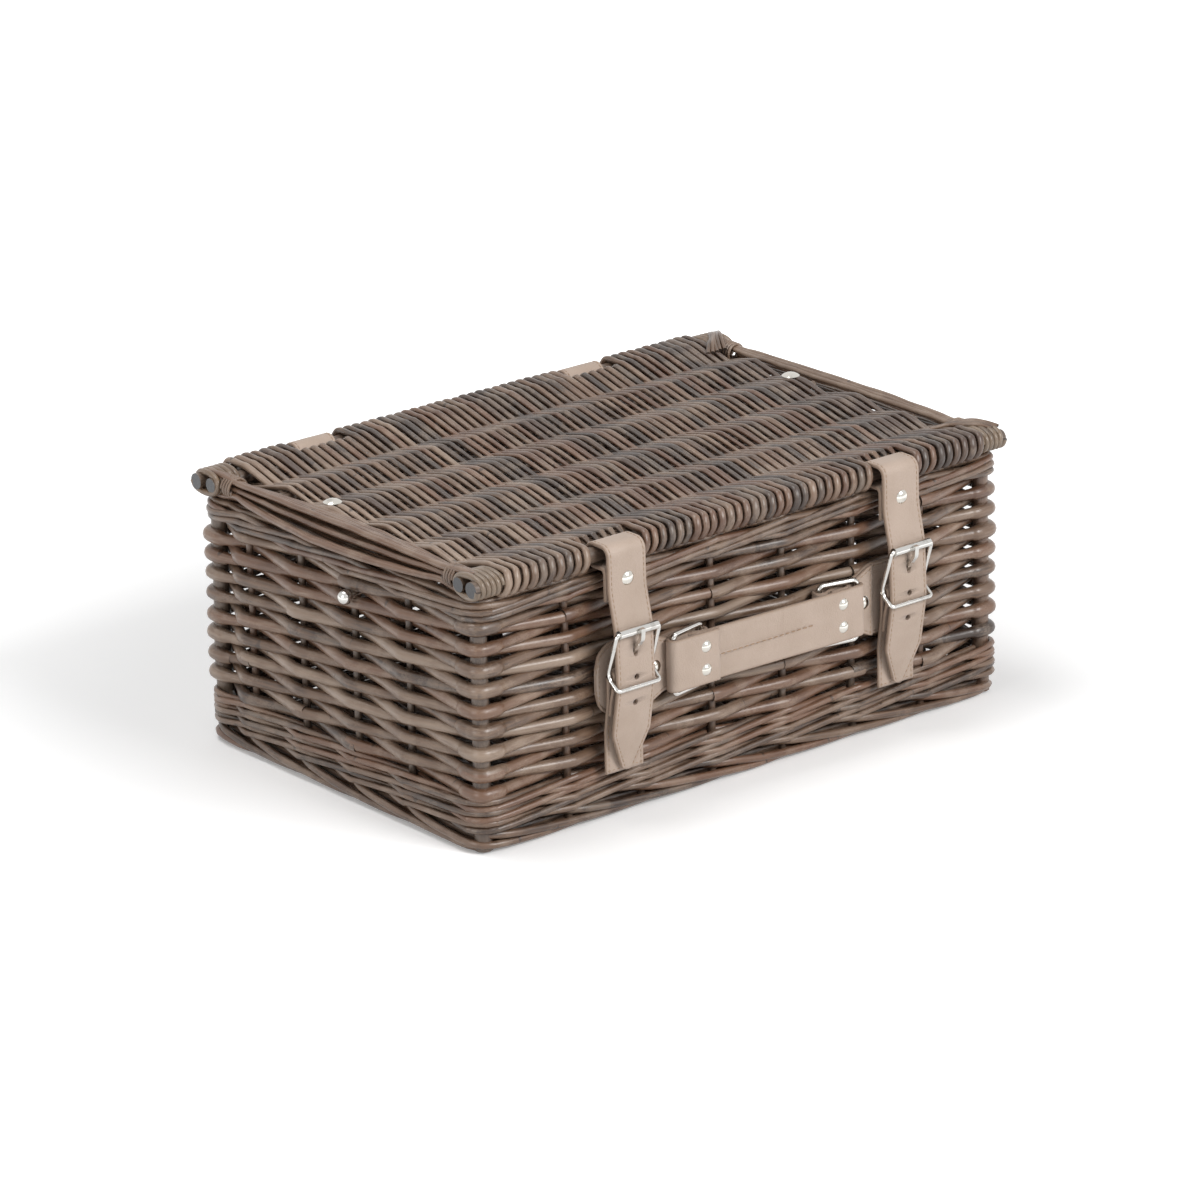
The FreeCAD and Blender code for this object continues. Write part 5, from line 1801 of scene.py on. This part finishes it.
@dataclass
class Handle:
    """The grip, its two wire rings and the leather pieces that hold them on the wall."""

    shop: Workshop
    middle: float = 4.5
    ring_near: float = 40.5
    ring_far: float = 62.5
    ring_half: float = 16.3
    wire: float = 1.5
    near_y: float = -122.3
    far_y: float = -126.8
    anchor_far: float = 108.5
    anchor_half: float = 20.0
    tab_half: float = 13.7
    skin: float = 2.0

    def across(self, side: str, distance: float) -> float:
        """The X of a place so far out from the middle of the handle."""
        return self.middle + SIGN[side] * distance

    def build(self) -> None:
        """Build the anchors, the rings and the grip."""
        for side in SIGN:
            self.build_anchor(side)
            self.build_ring(side)
        self.build_grip()
        dress("handle_rivets", self.shop.palette.nickel)
        dress("handle_anchor_rivets", self.shop.palette.nickel)

    def anchor_width(self, side: str) -> Callable[[Vector, float, float], float]:
        """How an anchor's half width changes along it: a narrow tab, a wide body and a round end."""

        def half(point: Vector, run: float, whole: float) -> float:
            """Half the width at one place."""
            out = abs(point.x - self.middle)
            share = max(0.0, min(1.0, (out - self.ring_near - 21.0) / 18.0))
            wide = self.tab_half + (self.anchor_half - self.tab_half) * share * share * (3 - 2 * share)
            past = max(0.0, min(1.0, (out - self.anchor_far + 13.0) / 13.0))
            return wide - 12.5 * (1 - math.sqrt(1 - past * past))

        return half

    def build_anchor(self, side: str) -> None:
        """The leather piece on the wall, folded round the ring's near bar.

        Args:
            side: left or right.
        """
        near, far = self.ring_near, self.anchor_far
        bend = self.wire + 0.3 + self.skin / 2
        line_y = FRONT - self.skin / 2
        low = self.near_y - bend
        upper = line_y - self.skin - 0.2
        path = [(far, line_y), (near - bend, line_y), (near - bend, low), (near + 2, low), (near + 10, upper),
                (near + 37, upper)]
        points = [(self.across(side, s), y) for s, y in path]
        strip = Strip(points, [0, bend, bend, 4, 4, 0], self.skin, HARDWARE_HEIGHT, 2 * self.anchor_half, Plane.TOP,
                      outline=self.anchor_width(side))
        piece = strip.build(f"handle_anchor_{side}_leather", self.shop.palette.leather)
        settle(piece, "basket", f"handle_anchor_{side}")
        whole = strip.runs[-1]
        face = 1 if strip.out(2).y < 0 else -1
        other = 1 if strip.out(len(strip.line) - 3).y < 0 else -1
        seams = [strip.seam(way, face, 0.0, 32.0) for way in (-1, 1)] + [strip.cross_seam(face, 1.9)]
        seams += [strip.seam(way, other, whole - 40.0, whole - 1.5) for way in (-1, 1)]
        seams.append(strip.cross_seam(other, whole - 1.9))
        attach(self.shop.threads(f"handle_anchor_{side}_stitches", seams), "basket")

    def build_ring(self, side: str) -> None:
        """One wire ring with rounded corners."""
        near, far = self.across(side, self.ring_near), self.across(side, self.ring_far)
        low, high = HARDWARE_HEIGHT - self.ring_half, HARDWARE_HEIGHT + self.ring_half
        start = Vector((near, self.near_y, HARDWARE_HEIGHT))
        ring = [start, Vector((near, self.near_y, high)), Vector((far, self.far_y, high)),
                Vector((far, self.far_y, low)), Vector((near, self.near_y, low)), start + Vector((0, 0, -0.01))]
        outline = filleted(ring, [0, 2.5, 2.5, 2.5, 2.5, 0], step=10.0)
        piece = self.shop.bundle(f"ring_{side}_wire", [Rod(outline, self.wire, self.wire)], self.shop.palette.chrome,
                                 Slot.CHROME, 6, sides=24, steps=1, roughness=0.0)
        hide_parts(f"ring_{side}")
        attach(piece, f"ring_{side}")

    def build_grip(self) -> None:
        """The grip: one strip folded round the far bars of both rings, with one row of stitches along the middle of
        its front.
        """
        fold = self.wire + 0.3 + self.skin / 2
        front, back = self.far_y - fold, self.far_y + fold
        shut = front + self.skin + 0.2
        far = self.ring_far
        path = [("left", far - 28, front), ("left", far + fold, front), ("left", far + fold, back),
                ("left", far - 11.5, back), ("left", far - 15, shut), ("left", far - 30, shut),
                ("right", far - 24, front), ("right", far + fold, front), ("right", far + fold, back),
                ("right", far - 3.5, back), ("right", far - 7, shut), ("right", far - 18, shut)]
        line = [(self.across(side, s), y) for side, s, y in path]
        strip = Strip(line, [0, fold, fold, 1.5, 1.5, 15, 15, fold, fold, 1.5, 1.5, 0], self.skin, HARDWARE_HEIGHT, 28.4,
                      Plane.TOP, stitched=False)
        piece = strip.build("handle_grip_leather", self.shop.palette.leather)
        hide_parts("handle_strip")
        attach(piece, "handle")
        middle = Strip([(-28.0, front), (32.0, front)], [0, 0], self.skin, HARDWARE_HEIGHT, 4.0, Plane.TOP)
        seam = [middle.spot(i, 0.0, -self.skin / 2) for i in range(len(middle.line))]
        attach(self.shop.threads("handle_grip_stitches", [seam], 4.0, 3.0, 0.75), "handle")


@dataclass
class Loops:
    """The two leather loops that tie the lid's back stick to the rim."""

    shop: Workshop
    bend: float = 5.9

    def build(self) -> None:
        """Build both loops."""
        low = RIM_FLOOR + 1.5
        near, far = OUTER_STICK - self.bend, OUTER_STICK + self.bend
        path = [(near, low), (far, low), (far, LID_MIDDLE + self.bend), (near, LID_MIDDLE + self.bend)]
        for side, place in LOOP_PLACES.items():
            strip = Strip(path, [4.4, 4.4, self.bend, self.bend], 2.2, place, 26.0, closed=True)
            piece = strip.build(f"hinge_loop_{side}_leather", self.shop.palette.leather)
            settle(piece, "basket", f"hinge_loop_{side}")
            seams = [strip.seam(way, -1, 0.0, strip.runs[-1]) for way in (-1, 1)]
            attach(self.shop.threads(f"hinge_loop_{side}_stitches", seams), "basket")


@dataclass
class Stays:
    """The leather stays inside the two ends, which hold the open lid, and their studs."""

    shop: Workshop
    place: float = 157.0
    width: float = 12.0
    skin: float = 2.0
    hinge: Point2 = (116.1, 144.1)
    low_end: Point2 = (-16.5, 115.4)
    high_end: Point2 = (27.5, 136.0)
    swing: float = math.radians(95.0)
    lean: float = 2.5
    fixed: float = 272.0
    free: float = 335.0

    def share(self, point: Vector) -> float:
        """How far a point follows the lid: 0 with the basket and 1 with the lid."""
        t = max(0.0, min(1.0, (point.x + self.lean * point.y - self.fixed) / (self.free - self.fixed)))
        return t * t * (3 - 2 * t)

    def turned(self, point: Vector, angle: float) -> Vector:
        """A point turned about the hinge; a positive angle closes the lid.

        Args:
            point: The point: its Y and its Z.
            angle: The angle in radians.

        Returns:
            The turned point.
        """
        arm = point - Vector((*self.hinge, 0))
        c, s = math.cos(angle), math.sin(angle)
        return Vector((*self.hinge, 0)) + Vector((arm.x * c - arm.y * s, arm.x * s + arm.y * c, 0))

    def rest_line(self) -> list[Point2]:
        """The stay's line with the lid shut, which opens to a straight line.

        Returns:
            The line's points.
        """
        start = Vector((*self.low_end, 0))
        end = self.turned(Vector((*self.high_end, 0)), -self.swing)
        found, share = [], 0.0
        steps = 44
        for i in range(steps + 1):
            open_spot = start.lerp(end, i / steps)
            options = [k / 400 for k in range(401)]
            gaps = [self.share(self.turned(open_spot, w * self.swing)) - w for w in options]
            roots = [options[k] for k in range(400) if gaps[k] == 0 or gaps[k] * gaps[k + 1] < 0]
            roots += [1.0] if abs(gaps[-1]) < 1e-6 else []
            near = [w for w in roots if w >= share - 0.02] or [share]
            share = min(near, key=lambda w: abs(w - share))
            spot = self.turned(open_spot, share * self.swing)
            found.append((spot.x, spot.y))
        return found

    def build(self) -> None:
        """Build both stays and finish their studs."""
        line = self.rest_line()
        for side, sign in SIGN.items():
            strip = Strip(line, [0.0] * len(line), self.skin, sign * self.place, self.width, stitched=False)
            piece = strip.build(f"lid_stay_{side}_leather", self.shop.palette.lining)
            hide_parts(f"lid_stay_{side}")
            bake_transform(piece)
        dress("stay_side_studs", self.shop.palette.chrome)
        dress("stay_lid_studs", self.shop.palette.nickel)


# ---------------------------------------------------------------- studio

@dataclass
class Studio:
    """The floor, the lamps and the camera."""

    azimuth: float = -39.11
    elevation: float = 19.75
    roll: float = -1.19
    distance: float = 3344.6
    lens: float = 189.27
    target: tuple = (-10.92, -10.10, 70.0)

    def build(self) -> None:
        """Set up the view, the light and the ground."""
        self.build_camera()
        self.build_world()
        self.build_floor()
        self.lamp("key", (0.5, -2.2, 1.6), (0.0, -0.1, 0.08), (1.1, 0.9), 50.0)
        self.lamp("top", (-0.5, 0.3, 2.2), (0.0, 0.0, 0.1), (0.9, 0.9), 20.0)
        self.lamp("side", (-2.3, -0.4, 1.0), (0.0, 0.0, 0.08), (0.9, 0.9), 13.0)
        bpy.context.scene.view_settings.view_transform = "Standard"

    def build_camera(self) -> None:
        """The camera, a little rolled."""
        a, e, r = (math.radians(v) for v in (self.azimuth, self.elevation, self.roll))
        back = Vector((math.sin(a) * math.cos(e), -math.cos(a) * math.cos(e), math.sin(e)))
        right = Vector((math.cos(a), math.sin(a), 0))
        up = back.cross(right)
        side = right * math.cos(r) + up * math.sin(r)
        top = up * math.cos(r) - right * math.sin(r)
        data = bpy.data.cameras.new("camera")
        data.lens, data.sensor_width, data.sensor_fit = self.lens, 36.0, "HORIZONTAL"
        data.clip_end = 50.0
        camera = bpy.data.objects.new("camera", data)
        turn = Matrix((side, top, back)).transposed().to_4x4()
        camera.matrix_world = Matrix.Translation((Vector(self.target) + back * self.distance) * MM) @ turn
        bpy.context.scene.collection.objects.link(camera)
        bpy.context.scene.camera = camera

    def build_world(self) -> None:
        """An even pale surround, white where it is seen or mirrored."""
        world = bpy.data.worlds.new("surround")
        world.use_nodes = True
        g = Graph(world.node_tree)
        path = g.add("ShaderNodeLightPath")
        seen = g.math("MAXIMUM", g.math("MAXIMUM", path.outputs["Is Camera Ray"], path.outputs["Is Glossy Ray"]),
                      path.outputs["Is Transmission Ray"])
        strength = g.math("ADD", 0.20, g.math("MULTIPLY", seen, 0.80))
        shade = g.add("ShaderNodeBackground", Color=(1, 1, 1, 1), Strength=strength)
        g.add("ShaderNodeOutputWorld", Surface=shade.outputs[0])
        bpy.context.scene.world = world

    def build_floor(self) -> None:
        """A white floor that keeps the basket's shadow."""
        mesh = bpy.data.meshes.new("floor")
        reach = 12.0
        mesh.from_pydata([(-reach, -reach, 0), (reach, -reach, 0), (reach, reach, 0), (-reach, reach, 0)], [],
                         [(0, 1, 2, 3)])
        material = bpy.data.materials.new("white floor")
        material.use_nodes = True
        g = Graph(material.node_tree)
        path = g.add("ShaderNodeLightPath")
        seen = g.math("MAXIMUM", path.outputs["Is Camera Ray"], path.outputs["Is Glossy Ray"])
        away = g.add("ShaderNodeVectorMath", {"operation": "LENGTH"},
                     in_0=g.add("ShaderNodeTexCoord").outputs["Object"]).outputs["Value"]
        glow = g.math("MULTIPLY", seen, g.math("ADD", 0.2, g.math("MULTIPLY", g.step(away, 0.24, 0.75), 0.8)))
        shader = g.add("ShaderNodeBsdfPrincipled", Base_Color=(0.9, 0.9, 0.9, 1), Roughness=0.9,
                       Emission_Color=(1, 1, 1, 1), Emission_Strength=glow)
        g.add("ShaderNodeOutputMaterial", Surface=shader.outputs[0])
        mesh.materials.append(material)
        floor = bpy.data.objects.new("floor", mesh)
        bpy.context.scene.collection.objects.link(floor)

    @staticmethod
    def lamp(name: str, place: tuple, aim: tuple, size: Point2, power: float) -> None:
        """One soft lamp.

        Args:
            name: Its name.
            place: Where it stands, in metres.
            aim: What it points at.
            size: Its width and height.
            power: Its power in watts.
        """
        data = bpy.data.lights.new(name, "AREA")
        data.shape, data.size, data.size_y, data.energy = "RECTANGLE", size[0], size[1], power
        lamp = bpy.data.objects.new(name, data)
        way = Vector(place) - Vector(aim)
        lamp.matrix_world = Matrix.Translation(Vector(place)) @ way.to_track_quat("Z", "Y").to_matrix().to_4x4()
        bpy.context.scene.collection.objects.link(lamp)


def main() -> None:
    """Build the basket's looks and the studio."""
    logging.basicConfig(level=logging.INFO, format="%(name)s: %(message)s")
    shop = Workshop(Palette())
    Wall(shop, Perimeter()).build()
    Base(shop).build()
    Lid(shop).build()
    Loops(shop).build()
    Buckles(shop).build()
    Handle(shop).build()
    Stays(shop).build()
    Studio().build()


if __name__ == "__main__":
    main()
